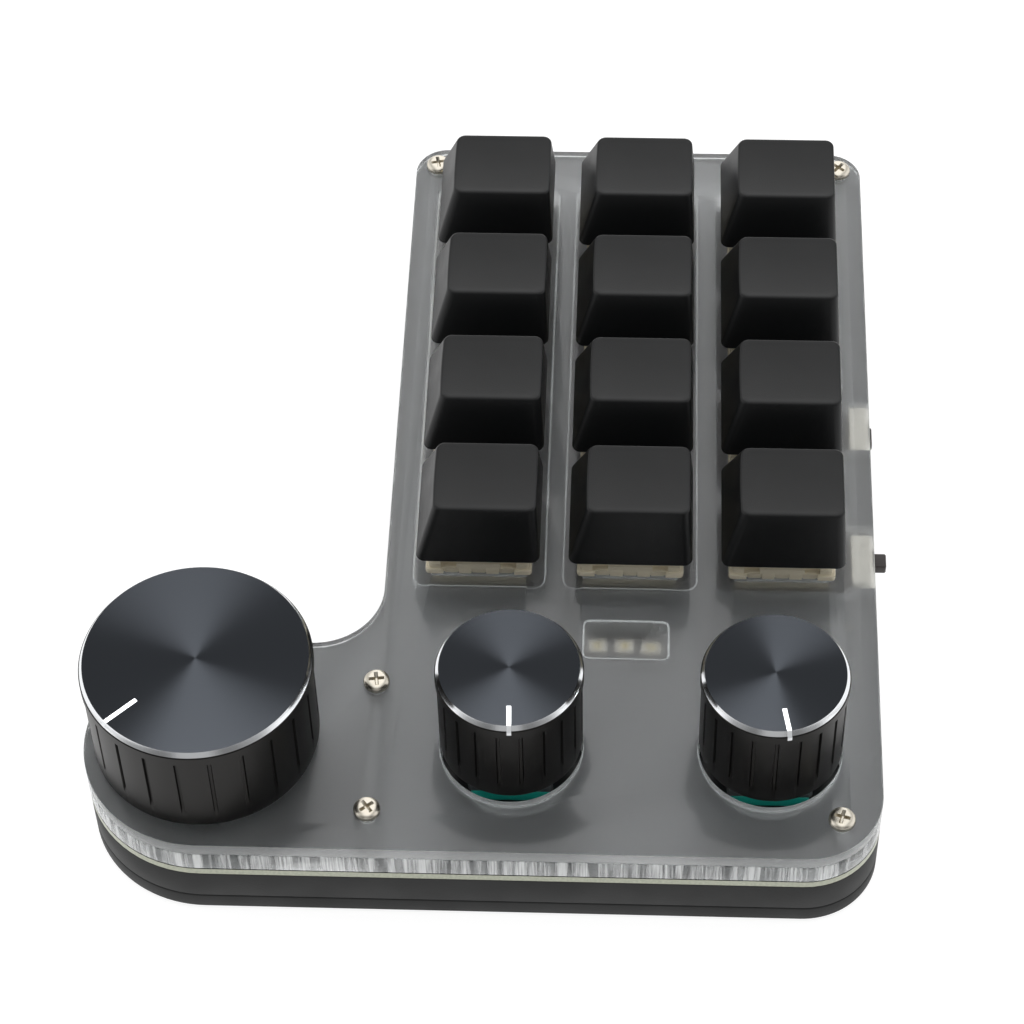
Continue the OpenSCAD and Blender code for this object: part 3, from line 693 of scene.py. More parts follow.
# %% [markdown]
# ## Clear spacer
# One slot runs under each row of switches. The rear slot is split by a bridge, and each
# half opens to the rear edge through a pocket for the button or the slide switch, so
# there the outline itself runs in and out again. A hair of air stays between the spacer
# and its neighbours, as between real sheets, and keeps their faces from fighting.

# %% Make the clear spacer
SLOT_W = 19.2
SLOT_PAST_KEYS = 8.6
SLOT_L = key_places[3].x - key_places[0].x + 2 * SLOT_PAST_KEYS
SLOT_R, SLIDER_SLOT_R = 1.6, 1.0
BRIDGE_W, BRIDGE_R = 3.4, 0.3
AIR = 0.02
BUTTON_POCKET_W = 9.0
SLIDER_POCKET_W = 11.2
WINDOW_AT, WINDOW_SIZE, WINDOW_R = (49.3, -0.35), (6.4, 12.1), 0.8

button_x = middle_mm("button_body").x
slider_x = middle_mm("slide_switch_body").x
rear_row_y = max(p.y for p in key_places)
bridge_x = (key_places[2].x + key_places[3].x) / 2
slot_front, slot_rear = rear_row_y - SLOT_W / 2, rear_row_y + SLOT_W / 2


def rear_inlet(pocket_x, pocket_w, left, right, left_r, right_r):
    """Corners along the rear edge where a slot opens through its pocket, from right to left."""
    pocket_left, pocket_right = pocket_x - pocket_w / 2, pocket_x + pocket_w / 2
    return [(pocket_right, REAR_Y, 0), (pocket_right, slot_rear, 0), (right, slot_rear, right_r),
            (right, slot_front, right_r), (left, slot_front, left_r), (left, slot_rear, left_r),
            (pocket_left, slot_rear, 0), (pocket_left, REAR_Y, 0)]


bridge_left, bridge_right = bridge_x - BRIDGE_W / 2, bridge_x + BRIDGE_W / 2
slider_inlet = rear_inlet(slider_x, SLIDER_POCKET_W, bridge_right, SLOT_L / 2, BRIDGE_R, SLIDER_SLOT_R)
button_inlet = rear_inlet(button_x, BUTTON_POCKET_W, -SLOT_L / 2, bridge_left, SLOT_R, BRIDGE_R)
spacer_outline = rounded(outline_left + outline_lobe + outline_right + slider_inlet + button_inlet
                         + outline_rear, 24)
row_ys = sorted({round(p.y, 3) for p in key_places})[:-1]
row_slots = [rectangle(0, y, SLOT_L, SLOT_W, SLOT_R, 10) for y in row_ys]
window = rectangle(*WINDOW_AT, *WINDOW_SIZE, WINDOW_R)
spacer_faces = [CLEAR, CLEAR_CUT, CLEAR_BORED, CLEAR_LAID, CLEAR_RIM_PAINTED_GLOW]
spacer = slab("clear_spacer_dressed", [spacer_outline, window] + row_slots + encoder_holes + screw_holes,
              spacer_low.z + AIR, spacer_high.z - AIR, spacer_faces, edge=0.25)
dress(spacer, "clear_spacer")
print("clear spacer:", len(spacer.data.polygons), "faces")

# %% [markdown]
# ## Case frame and base
# Two black layers close the case from below. Their edges are rounded a little more than
# the acrylic's, so a thin line of light shows between them. The frame is hollow, with a
# mouth for the charging port at the rear. The base holds rubber feet in shallow seats.
# Neither runs through a layer from top to bottom, so no loop of a slab can draw them, and
# both are carved out of finished slabs.

# %% Make the black layers
CASE_WALL = 2.6
PORT_CLEAR = 0.35
FOOT_SINK, FOOT_CLEAR = 0.5, 0.05

frame_low, frame_high = box_mm("case_frame")
base_low, base_high = box_mm("base_plate")
port_low, port_high = box_mm("usb_shell")
PORT_W = port_high.x - port_low.x
PORT_H = 3.26
PORT_Z = frame_high.z - PORT_H / 2
port_x = middle_mm("usb_shell").x


def stadium(width, height):
    return rectangle(0, 0, width, height, height / 2 - HAIR, 12)


def stood_up(piece, x, y, z):
    """Turns a flat slab so that its thickness runs along y, and moves it to a place."""
    turn = Matrix.Rotation(math.radians(90), 4, "X")
    piece.data.transform(Matrix.Translation(Vector((x, y, z)) * MM) @ turn)
    return piece


case_hollow = drawn_in(outline, CASE_WALL)
case_frame = slab("case_frame_dressed", [outline, case_hollow], frame_low.z, frame_high.z, [ABS], edge=0.25)
port_cut = cutter(stadium(PORT_W + 2 * PORT_CLEAR, PORT_H + 2 * PORT_CLEAR), -CASE_WALL, CASE_WALL * 2, ABS)
carved(case_frame, stood_up(port_cut, port_x, REAR_Y, PORT_Z))
dress(case_frame, "case_frame")

foot_places = island_middles("rubber_feet")
FOOT_R = box_mm("rubber_feet")[1].x - max(p.x for p in foot_places)
base_plate = slab("base_plate_dressed", [outline] + screw_holes, base_low.z, base_high.z, [ABS], edge=0.35)
seats = [cutter(circle(p.x, p.y, FOOT_R + FOOT_CLEAR, 48), base_low.z - CUT_PAST, base_low.z + FOOT_SINK, ABS)
         for p in foot_places]
carved(base_plate, joined("seats", seats))
dress(base_plate, "base_plate")
print("case frame and base:", len(case_frame.data.polygons), "and", len(base_plate.data.polygons), "faces")

# %% [markdown]
# ## Rubber feet
# Five pads of moulded rubber sit in the base's seats. A cylinder with a Bevel modifier
# would do as well. A turned profile is as short, and it rounds only the lower rim, as the
# mould does. One mesh serves all five.

# %% Make the feet
FOOT_ROUND, FOOT_ROUND_MIDDLE = 0.25, 0.07

foot_low, foot_high = box_mm("rubber_feet")
foot_profile = [(0, foot_low.z), (FOOT_R - FOOT_ROUND, foot_low.z),
                (FOOT_R - FOOT_ROUND_MIDDLE, foot_low.z + FOOT_ROUND_MIDDLE),
                (FOOT_R, foot_low.z + FOOT_ROUND), (FOOT_R, foot_high.z), (0, foot_high.z)]
foot = turned("foot", foot_profile, [RUBBER], 48)
feet = copies(foot, "rubber_foot_#", foot_places, 0, "rubber_feet")
print(len(feet), "feet")

# %% [markdown]
# ## Cover screws
# Plated pan-head machine screws with a cross recess. The recess narrows towards its
# bottom as a real driver bit does, so its four walls reflect in different directions.
# A dark cross in the material would look flat from the side, so two tapered bars are
# carved out of a turned head. Each screw stops at a turn of its own.

# %% Make the screws
HEAD_R, HEAD_H = 1.9, 1.0
HEAD_FLAT_R, HEAD_WALL = 1.0, 0.35
SHANK_R = 1.0
TIP_W, TIP_H = 0.2, 0.3
RECESS_L, RECESS_W, RECESS_DEEP = 2.3, 0.55, 0.75
RECESS_FOOT, RECESS_PAST = 0.45, 1.3
SCREW_TURNS = (12, 50, 8, 38, 75)

screw_low, screw_high = box_mm("cover_screws")
dome = [(HEAD_FLAT_R + (HEAD_R - HEAD_FLAT_R) * math.cos(t),
         PLATE_TOP + HEAD_WALL + (HEAD_H - HEAD_WALL) * math.sin(t))
        for t in quarter_turns(6)]
screw_profile = ([(0, screw_low.z), (SHANK_R - TIP_W, screw_low.z), (SHANK_R, screw_low.z + TIP_H),
                  (SHANK_R, PLATE_TOP), (HEAD_R, PLATE_TOP)] + dome + [(0, screw_high.z)])


def recess_bar(turn):
    """One arm of the recess: full size at the head's top, and narrower at its bottom."""
    top = screw_high.z
    levels = ((top - RECESS_DEEP, RECESS_FOOT), (top, 1.0), (top + 0.5, RECESS_PAST))
    rings = [[(p.x, p.y, z) for p in rectangle(0, 0, RECESS_L * share, RECESS_W * share, 0.05, 2)]
             for z, share in levels]
    bar = loft("bar", rings, [NICKEL])
    bar.data.transform(Matrix.Rotation(math.radians(turn), 4, "Z"))
    return bar


screw = turned("screw", screw_profile, [NICKEL], 48)
for turn in (0, 90):
    carved(screw, recess_bar(turn))
screws = copies(screw, "cover_screw_#", screw_places, 0, "cover_screws", SCREW_TURNS)
print(len(screws), "screws")

# %% [markdown]
# ## Key switches
# A switch is a box of cream nylon in two halves. The base drops through the plate and
# stops on a flange with a raised ear at each corner, and the top clips over it and leans
# in towards the stem. Between the ears the flange is set back and ribbed, and two
# recesses on each side show where the halves clip together; their walls are given the
# stems' brown acetal as painted shade. The halves never part, so one mesh could hold
# both, but as two pieces each stays simple and the seam is a real one.

# %% Make the switch bases
FLANGE, FLANGE_LOW, FLANGE_T = 15.6, 0.3, 1.0
FLANGE_FOOT_IN, FLANGE_FOOT_H = 0.6, 0.5
BODY_W, BODY_DEEP = 13.9, 5.0
EAR_W, EAR_STEP, FOOT_STEP = 2.6, 0.55, 0.1
CAVITY_W, CAVITY_R = 10.6, 0.4
FLOOR_T, FLOOR_LAP = 1.2, 0.3
PEG_R, PEG_BEVEL = 1.9, 0.4
RIB_W, RIB_GAP, RIB_DEEP, RIB_TOP = 2.0, 0.12, 0.8, 1.5
RIB_PROUD = (0.06, 0.22)
LAP = 0.1


def eared_outline(reach, set_back, ear, radius):
    """A square whose sides along x are set back between the ears at their ends."""
    edge = reach / 2
    inner = edge - set_back
    middle = edge - ear
    right = [(edge, -edge, radius), (edge, -middle, 0), (inner, -middle, 0),
             (inner, middle, 0), (edge, middle, 0), (edge, edge, radius)]
    return rounded(right + [(-x, -y, r) for x, y, r in right], 6)


cavity = rectangle(0, 0, CAVITY_W, CAVITY_W, CAVITY_R)
floor_w = CAVITY_W + 2 * FLOOR_LAP
flange_foot = eared_outline(FLANGE - 2 * FLANGE_FOOT_IN, FOOT_STEP, EAR_W - FLANGE_FOOT_IN, 0.3)
flange = eared_outline(FLANGE, EAR_STEP, EAR_W, 0.6)
peg_low = box_mm("switch_bases")[0].z - PLATE_TOP
peg_profile = [(0, peg_low), (PEG_R - PEG_BEVEL, peg_low), (PEG_R, peg_low + PEG_BEVEL),
               (PEG_R, LAP - BODY_DEEP), (0, LAP - BODY_DEEP)]
base_parts = [
    slab("body", [rectangle(0, 0, BODY_W, BODY_W, 0.5), cavity], -BODY_DEEP, LAP, [NYLON], 0.2),
    slab("floor", [rectangle(0, 0, floor_w, floor_w, CAVITY_R)],
         LAP / 2 - BODY_DEEP, FLOOR_T - BODY_DEEP, [NYLON], 0.05),
    slab("flange_foot", [flange_foot, cavity], 0, FLANGE_FOOT_H, [NYLON], 0.08),
    slab("flange", [flange, cavity], FLANGE_LOW, FLANGE_LOW + FLANGE_T, [NYLON], 0.15),
    turned("peg", peg_profile, [NYLON], 32),
]
for rib in range(-2, 3):
    for side in (-1, 1):
        rib_x = side * (FLANGE / 2 - EAR_STEP + RIB_PROUD[rib % 2] - RIB_DEEP / 2)
        strip = rectangle(rib_x, rib * RIB_W, RIB_DEEP, RIB_W - RIB_GAP, 0.08, 2)
        base_parts.append(slab("rib", [strip], LAP / 2, RIB_TOP, [NYLON], 0.06))
bases = copies(joined("switch_base", base_parts), "switch_base_#", key_places, PLATE_TOP, "switch_bases")
print("switch bases:", len(bases), "of", len(bases[0].data.polygons), "faces")

# %% Make the switch tops
TOP_FOOT, TOP_HEAD = 14.9, 11.0
TOP_Z, TOP_H = FLANGE_T, 6.6
SKIRT_TOP, SKIRT_STEP = 2.3, 0.15
ROOF_T = 1.0
STEM_ROOM, STEM_SLOT = 10, (7.3, 5.9)
CLIP_AT, CLIP_LOW = 4.4, 0.4
CLIP_DEEP, CLIP_W, CLIP_H = 1.6, 2.3, 1.5

top_profile = [(TOP_FOOT - 0.2, TOP_Z, 0.6), (TOP_FOOT, TOP_Z + SKIRT_STEP, 0.7), (TOP_FOOT, SKIRT_TOP, 0.7),
               (TOP_FOOT - 0.5, SKIRT_TOP + SKIRT_STEP, 0.7), (TOP_HEAD + 0.3, TOP_H - 0.2, 1.0),
               (TOP_HEAD, TOP_H, 1.0)]
top_rings = [[(p.x, p.y, z) for p in rectangle(0, 0, width, width, radius)]
             for width, z, radius in top_profile]
switch_top = loft("switch_top", top_rings, [NYLON])
cutters = [cutter(rectangle(0, 0, STEM_ROOM, STEM_ROOM, 0.5), TOP_Z - CUT_PAST, TOP_H - ROOF_T, NYLON),
           cutter(rectangle(0, 0, *STEM_SLOT, 0.3), TOP_H - ROOF_T - 0.5, TOP_H + CUT_PAST, NYLON)]
clip_low = TOP_Z + CLIP_LOW
# Each clip recess is cut with the stems' brown acetal, so its nylon walls carry painted shade.
for side in (-1, 1):
    for end in (-1, 1):
        spot = rectangle(side * TOP_FOOT / 2, end * CLIP_AT, CLIP_DEEP, CLIP_W, 0.2)
        cutters.append(cutter(spot, clip_low, clip_low + CLIP_H, BROWN_ACETAL_AND_RECESS_SHADE))
carved(switch_top, *cutters)
tops = copies(switch_top, "switch_top_#", key_places, PLATE_TOP, "switch_tops")
print("switch tops:", len(tops), "of", len(tops[0].data.polygons), "faces")

# %% [markdown]
# ## Key springs
# A coil spring lifts each key. A curve with a round bevel would do, but a spring has to
# shorten when its key is pressed, and only a mesh can be squashed, so the wire is swept
# along a helix by formula.

# %% Coil the springs
WIRE_R = 0.15
COIL_R = 2.05
TURNS = 7
STEPS_A_TURN = 14
WIRE_SIDES = 6
spring_low, spring_high = box_mm("key_springs")


def spring_mesh(name):
    count = TURNS * STEPS_A_TURN
    low, high = spring_low.z + WIRE_R, spring_high.z - WIRE_R
    rings = []
    for step in range(count + 1):
        turn = 2 * math.pi * step / STEPS_A_TURN
        outward = Vector((math.cos(turn), math.sin(turn), 0))
        centre = outward * COIL_R + Vector((0, 0, low + (high - low) * step / count))
        sides = [2 * math.pi * k / WIRE_SIDES for k in range(WIRE_SIDES)]
        rings.append([centre + outward * WIRE_R * math.cos(s) + Vector((0, 0, WIRE_R * math.sin(s)))
                      for s in sides])
    return loft(name, rings, [SPRING_STEEL])


springs = copies(spring_mesh("spring"), "key_spring_#", key_places, 0, "key_springs")
for i, piece in enumerate(springs):
    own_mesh(piece)

# %% [markdown]
# ## Keycaps
# A blank cap of black PBT: four leaning walls, a top narrower than the base and shifted to
# the rear, and a shallow hollow that runs front to back for the fingertip. The top edge
# is a small round of a quarter of a millimetre, which draws a thin line of light.
# Box modelling with a subdivision surface would soften every edge alike, so the cap is
# lofted from rings whose height follows the hollow.

# %% Shape a keycap
CAP_BASE = (19.0, 18.1)
CAP_TOP = (12.4, 14.8)
CAP_SHIFT = 1.1
CAP_R, CAP_LEAST_R = 1.3, 0.3
CAP_ROUND, CAP_FOOT_ROUND = 0.28, 0.15
CAP_WALL = 1.2
CAP_ROOF = 1.5
DISH_DEEP = 0.6
SIDE_STEPS, SIDE_FROM = 8, 1.5
cap_low, cap_high = box_mm("keycap_1")
CAP_H = cap_high.z - cap_low.z
DISH_HALF = CAP_TOP[0] / 2 + 0.5
DISH_R = (DISH_HALF ** 2 + DISH_DEEP ** 2) / (2 * DISH_DEEP)


def dish(x):
    """Height of the hollowed top above the cap's base."""
    return CAP_H - DISH_DEEP + DISH_R - math.sqrt(DISH_R ** 2 - min(abs(x), DISH_HALF) ** 2)


def cap_ring(z, inset):
    """The cap's outline at a height, drawn in, with extra points along its straight sides."""
    share = z / CAP_H
    width, depth = (b + (t - b) * share - 2 * inset for b, t in zip(CAP_BASE, CAP_TOP))
    corners = rectangle(0, 0, width, depth, max(CAP_LEAST_R, CAP_R - inset))
    ring = []
    for a, b in zip(corners, corners[1:] + corners[:1]):
        count = SIDE_STEPS if (b - a).length > SIDE_FROM else 1
        ring += [a.lerp(b, k / count) for k in range(count)]
    return [Vector((p.x, p.y + CAP_SHIFT * share, z)) for p in ring]


top_line = cap_ring(CAP_H, 0)
straight_tops = [dish(p.x) - CAP_ROUND for p in top_line]


def wall_ring(share):
    """A ring part of the way up the wall, where each point stops short of the hollow's rim."""
    heights = [top * share for top in straight_tops]
    return [cap_ring(z, 0)[k] for k, z in enumerate(heights)]


def rim_ring(turn):
    ring = []
    for k, top in enumerate(straight_tops):
        z = top + CAP_ROUND * math.sin(turn)
        ring.append(cap_ring(z, CAP_ROUND * (1 - math.cos(turn)))[k])
    return ring


def inner_ring(share):
    rim = cap_ring(CAP_H, CAP_ROUND)
    middle = Vector((0, CAP_SHIFT, 0))
    ring = []
    for p in rim:
        flat = middle.lerp(Vector((p.x, p.y, 0)), share)
        ring.append(Vector((flat.x, flat.y, dish(flat.x))))
    return ring


print("cap height", round(CAP_H, 2), "mm; hollow radius", round(DISH_R, 1), "mm")

# %% Make the keycaps
POST_R, POST_L, POST_LAP = 2.75, 3.55, 0.5
CROSS_L, CROSS_T = 4.1, 1.3

outer_rings = [cap_ring(0.0, CAP_FOOT_ROUND), cap_ring(CAP_FOOT_ROUND, 0.02)]
outer_rings += [wall_ring(share) for share in (0.05, 0.35, 0.7, 1.0)]
outer_rings += [rim_ring(turn) for turn in quarter_turns(5)[1:]]
outer_rings += [inner_ring(share) for share in (0.94, 0.8, 0.64, 0.48, 0.32, 0.16, 0.04)]
shell_top = CAP_H - DISH_DEEP - CAP_ROOF
inner_rings = [cap_ring(shell_top, CAP_WALL + 0.6), cap_ring(shell_top - 0.5, CAP_WALL + 0.1),
               cap_ring(shell_top / 2, CAP_WALL), cap_ring(0.3, CAP_WALL), cap_ring(0.0, CAP_WALL - 0.2)]
cap_shell = loft("cap", inner_rings + outer_rings, [PBT])
post_low = box_mm("key_stem_1")[1].z - POST_L - cap_low.z
half_l, half_t = CROSS_L / 2, CROSS_T / 2
quarter = [(half_l, -half_t), (half_l, half_t), (half_t, half_t)]
cross = [Vector(p) @ Matrix.Rotation(-math.pi / 2 * turn, 2) for turn in range(4) for p in quarter]
cap_post = slab("post", [circle(0, 0, POST_R, 40), cross], post_low, shell_top + POST_LAP, [PBT], 0.1)
keycap = joined("cap", [cap_shell, cap_post])
caps = copies(keycap, "keycap_#_dressed", key_places, cap_low.z, "keycap_#")
for i in range(KEY_COUNT):
    finish_part(f"key_stem_{i + 1}", BROWN_ACETAL_AND_RECESS_SHADE)
print("keycaps:", len(caps), "of", len(caps[0].data.polygons), "faces")

# %% [markdown]
# ## Knobs
# Each knob is turned from bar: a foot that tucks in, a straight side with narrow milled
# grooves, a smooth lip, a bright chamfer and a spun top. A turned profile alone can't
# hold the grooves, so the mesh is a grid of columns round the knob and rows up its side,
# and the columns inside a groove step inwards between the groove's two ends.

# %% Knob profile and grooves
LIP_W, LIP_H = 0.4, 2.3
CORNER_W = 0.15
CHAMFER_W, CHAMFER_H = 0.42, 0.75
FOOT_IN, FOOT_TALL = 0.35, 1.5
BORE_R, BORE_TOP, BORE_LOW = 3.05, 13.5, 5.0
MOUTH_R, MOUTH_TOP = 4.1, 4.6
HOLLOW_H, KNOB_WALL = 1.6, 2.4
GROOVE_LOW, GROOVE_END, GROOVE_HEAD = 3.2, 0.9, 0.12
GROOVE_W, GROOVE_DEEP, GROOVE_LEAN = 0.5, 0.35, 0.06
PLAIN_COLUMNS = 5
BODY, RIM, FACE = 0, 1, 2


def knob_rows(radius, height):
    """(radius, z, is it inside a groove, finish of the band above) from the bore to the top."""
    side = radius - LIP_W / 2
    ring = radius - CORNER_W
    inner = radius - KNOB_WALL
    groove_high = height - LIP_H - LIP_W
    hollow = [(BORE_R, BORE_TOP), (BORE_R, BORE_LOW), (MOUTH_R, MOUTH_TOP), (MOUTH_R, HOLLOW_H),
              (inner, HOLLOW_H), (inner, CORNER_W), (inner + CORNER_W, 0)]
    foot = [(side - FOOT_IN * (1 - math.sin(t)), FOOT_IN * FOOT_TALL * (1 - math.cos(t)))
            for t in quarter_turns(5)]
    grooved = [(side, GROOVE_LOW + GROOVE_END), (side, groove_high - GROOVE_HEAD)]
    lip = [(side, groove_high), (side, height - LIP_H - LIP_W / 2), (radius, height - LIP_H),
           (radius, height - CHAMFER_H - CORNER_W)]
    rows = [(r, z, 0, BODY) for r, z in hollow + foot + [(side, GROOVE_LOW)]]
    rows += [(r, z, 1, BODY) for r, z in grooved] + [(r, z, 0, BODY) for r, z in lip]
    rows.append((ring, height - CHAMFER_H, 0, RIM))
    face_r = ring - CHAMFER_W
    return rows + [(face_r * share, height, 0, FACE) for share in (1, 0.75, 0.5, 0.25, 0.08)]


def knob_columns(radius, grooves, start):
    """(angle, is it the floor of a groove) for every column round the knob."""
    columns = []
    for groove in range(grooves):
        middle = start + 2 * math.pi * (groove + 0.5) / grooves
        half = GROOVE_W / 2 / radius
        lean = GROOVE_LEAN / radius
        columns += [(middle - half - lean, 0), (middle - half + lean, 1),
                    (middle + half - lean, 1), (middle + half + lean, 0)]
        gap = 2 * math.pi / grooves - 2 * (half + lean)
        columns += [(middle + half + lean + gap * k / (PLAIN_COLUMNS + 1), 0)
                    for k in range(1, PLAIN_COLUMNS + 1)]
    return columns


def knob_mesh(name, radius, height, grooves, start):
    rows, columns = knob_rows(radius, height), knob_columns(radius, grooves, start)
    verts = []
    for row_r, z, grooved, _ in rows:
        for angle, is_floor in columns:
            r = row_r - GROOVE_DEEP * grooved * is_floor
            verts.append((r * math.cos(angle), r * math.sin(angle), z))
    indices = [row[3] for row in rows[:-1] for _ in columns] + [BODY, FACE]
    faces = ring_faces(len(rows), len(columns))
    return crisp(mesh_piece(name, verts, faces, [ANODISED, DIAMOND_CUT, SPUN], indices), 25)


print("knob recipe ready")

# %% [markdown]
# ## Pointer lines
# A milled line on each knob shows where it points. On the small knobs it runs over the
# chamfer and down the lip. It is a thin strip that follows the profile, a few hundredths
# of a millimetre proud, rather than paint in the material, so its ends stay sharp.

# %% Make the knobs
GROOVE_COUNTS = (22, 20, 20)
POINTER_ANGLES = (-46, 2, 10)
POINTER_W, POINTER_PROUD = 0.62, 0.03
POINTER_START = (0.64, 0.64, 0.6)
POINTER_OVER_LIP = (False, True, True)
POINTER_SHORT_OF_LIP = 0.8


def pointer_mesh(name, radius, height, start, over_lip):
    ring = radius - CORNER_W
    line = [(ring * start, height), (ring - CHAMFER_W, height), (ring, height - CHAMFER_H)]
    if over_lip:
        line += [(radius, height - CHAMFER_H - CORNER_W), (radius, height - LIP_H + POINTER_SHORT_OF_LIP)]
    half = POINTER_W / 2
    rings = []
    for i, (r, z) in enumerate(line):
        ahead = Vector(line[min(i + 1, len(line) - 1)]) - Vector(line[max(i - 1, 0)])
        outward = Vector((-ahead.y, ahead.x)).normalized() * POINTER_PROUD
        rings.append([(r + outward.x, -half, z + outward.y), (r + outward.x, half, z + outward.y),
                      (r - 2 * outward.x, half, z - 2 * outward.y),
                      (r - 2 * outward.x, -half, z - 2 * outward.y)])
    return loft(name, rings, [MILLED_LINE])


for i, knob in enumerate(KNOBS):
    low, high = box_mm(knob)
    radius, height = (high.x - low.x) / 2, high.z - low.z
    turn = math.radians(POINTER_ANGLES[i])
    spot = Vector((knob_places[i].x, knob_places[i].y, low.z)) * MM
    body = knob_mesh(f"{knob}_dressed", radius, height, GROOVE_COUNTS[i], turn)
    body.location = spot
    dress(body, knob)
    line = pointer_mesh(f"{knob}_pointer", radius, height, POINTER_START[i], POINTER_OVER_LIP[i])
    line.data.transform(Matrix.Rotation(turn, 4, "Z"))
    line.location = spot
    dress(line, knob)
    print(knob, round(2 * radius, 1), "x", round(height, 1), "mm,", len(body.data.polygons), "faces")

# %% [markdown]
# ## Encoders
# Under each knob sits a rotary encoder: a teal moulded base on the board, and a die-cast
# housing with a bushing on top. Only a crescent of the base shows, past the knob's edge
# through the round hole, but its colour is one of the few on the whole object. The
# bushing's thread could be a helix. Since the knob covers it, a stack of rings is enough.

# %% Make the encoder bases and housings
ENCODER_W = 12.0
BASE_D, BASE_H = 11.0, 2.2
SILL_W, SILL_D = ENCODER_W - 1.2, BASE_D + 0.3
SILL_LOW, SILL_TOP = 0.4, BASE_H - 0.3
HOUSING_H = 5.6
BUSH_R, BUSH_BORE_R, BUSH_TOP = 3.5, 3.05, 10.6
COLLAR_R, COLLAR_LOW, COLLAR_TOP = BUSH_R + 0.6, HOUSING_H - 0.4, HOUSING_H + 0.3
THREAD_PITCH, THREAD_DEEP = 0.75, 0.3
THREAD_LOW, THREAD_TOP = HOUSING_H + 0.8, BUSH_TOP - 0.4
LUG_W, LUG_T, LUG_LAP = 2.0, 0.5, 0.5

encoder_base = joined("encoder_base", [
    slab("tray", [rectangle(0, 0, ENCODER_W, BASE_D, 0.4)], 0, BASE_H, [PHENOLIC], 0.15),
    slab("sill", [rectangle(0, 0, SILL_W, SILL_D, 0.3)], SILL_LOW, SILL_TOP, [PHENOLIC], 0.1)])
bush_profile = [(0, COLLAR_LOW), (COLLAR_R, COLLAR_LOW), (COLLAR_R, COLLAR_TOP), (BUSH_R, COLLAR_TOP + 0.2)]
thread_count = int((THREAD_TOP - THREAD_LOW) / THREAD_PITCH)
for k in range(thread_count):
    z = THREAD_LOW + k * THREAD_PITCH
    bush_profile += [(BUSH_R, z), (BUSH_R - THREAD_DEEP, z + THREAD_PITCH / 2)]
bush_profile += [(BUSH_R, THREAD_TOP), (BUSH_R - THREAD_DEEP, BUSH_TOP), (BUSH_BORE_R, BUSH_TOP),
                 (BUSH_BORE_R, BUSH_TOP - 0.5), (0, BUSH_TOP - 0.5)]
housing_parts = [slab("can", [rectangle(0, 0, ENCODER_W, ENCODER_W, 0.5)], BASE_H, HOUSING_H, [ZINC], 0.25),
                 turned("bush", bush_profile, [ZINC], 48)]
housing_low = box_mm("encoder_housings")[0].z - BOARD_TOP
for side in (1, -1):
    lug = rectangle(0, side * (ENCODER_W - LUG_T) / 2, LUG_W, LUG_T, 0.1, 2)
    housing_parts.append(slab("lug", [lug], housing_low, BASE_H + LUG_LAP, [ZINC]))
encoder_housing = joined("encoder_housing", housing_parts)
copies(encoder_base, "encoder_base_#", knob_places, BOARD_TOP, "encoder_bases")
copies(encoder_housing, "encoder_housing_#", knob_places, BOARD_TOP, "encoder_housings")
for i in range(len(KNOBS)):
    finish_part(f"encoder_rotor_{i + 1}", BLACK_ACETAL)
    finish_part(f"encoder_shaft_{i + 1}", ZINC)
finish_part("snap_domes", SPRING_STEEL)
print("encoders:", len(KNOBS), "with", thread_count, "turns of thread each")

# %% [markdown]
# ## Side controls
# A push button and a slide switch stand in pockets at the rear edge. Their white bodies
# show through the frosted plate, and only the black nub and lever reach outside. A body
# without a pocket would hide the joint, so the room that each moving piece needs is
# carved out of its body, and the lever's runs on as far as the lever slides.

# %% Blocks and pockets
MOVING_ROOM = 0.15


def block(name, low, high, material, radius=0.15, edge=0.08, steps=3):
    """A block with rounded corners and rims, from its lowest corner to its highest."""
    x, y = (low[0] + high[0]) / 2, (low[1] + high[1]) / 2
    loop = rectangle(x, y, high[0] - low[0], high[1] - low[1], radius, steps)
    return slab(name, [loop], low[2], high[2], [material], edge)


def box_piece(name, node, material, radius, edge):
    """A block that fills a part's box."""
    return block(name, *box_mm(node), material, radius, edge, 6)


def pocket(left, right, front, rear, z, height):
    """The room that a moving piece needs in its body, open to the rear."""
    reach = height / 2 + MOVING_ROOM
    return block("pocket", (left - MOVING_ROOM, front, z - reach),
                 (right + MOVING_ROOM, rear + CUT_PAST, z + reach), NYLON)


print("blocks ready")

# %% Make the button and the slide switch
NUB_W, NUB_H, NUB_DEEP = 3.9, 1.6, 1.7
LEVER_W, LEVER_H, LEVER_GAP = 2.5, 1.6, 0.2
LEVER_TRAVEL = 2.0
TRACK_DEEP = 2.1

button_rear = box_mm("button_body")[1].y
nub_low, nub_high = box_mm("button_plunger")
nub_z = (nub_low.z + nub_high.z) / 2
button = box_piece("button_body_dressed", "button_body", LED_BODY, 0.35, 0.2)
nub_left, nub_right = button_x - NUB_W / 2, button_x + NUB_W / 2
nub_seat = pocket(nub_left, nub_right, button_rear - NUB_DEEP, button_rear, nub_z, NUB_H)
dress(carved(button, nub_seat), "button_body")
nub = slab("button_plunger_dressed", [stadium(NUB_W, NUB_H)], 0, nub_high.y - nub_low.y, [BLACK_ACETAL], 0.25)
dress(stood_up(nub, button_x, nub_high.y, nub_z), "button_plunger")

slider_rear = box_mm("slide_switch_body")[1].y
lever_rear = box_mm("slide_lever")[1].y
lever = middle_mm("slide_lever")
lever_left, lever_right = lever.x - LEVER_W / 2, lever.x + LEVER_W / 2
track_front = slider_rear - TRACK_DEEP
slider = box_piece("slide_switch_body_dressed", "slide_switch_body", LED_BODY, 0.5, 0.2)
track = pocket(lever_left, lever_right + LEVER_TRAVEL, track_front, slider_rear, lever.z, LEVER_H)
dress(carved(slider, track), "slide_switch_body")
slide_lever = block("slide_lever_dressed", (lever_left, track_front + LEVER_GAP, lever.z - LEVER_H / 2),
                    (lever_right, lever_rear, lever.z + LEVER_H / 2), BLACK_ACETAL, 0.3, 0.2)
dress(slide_lever, "slide_lever")
print("side controls ready")

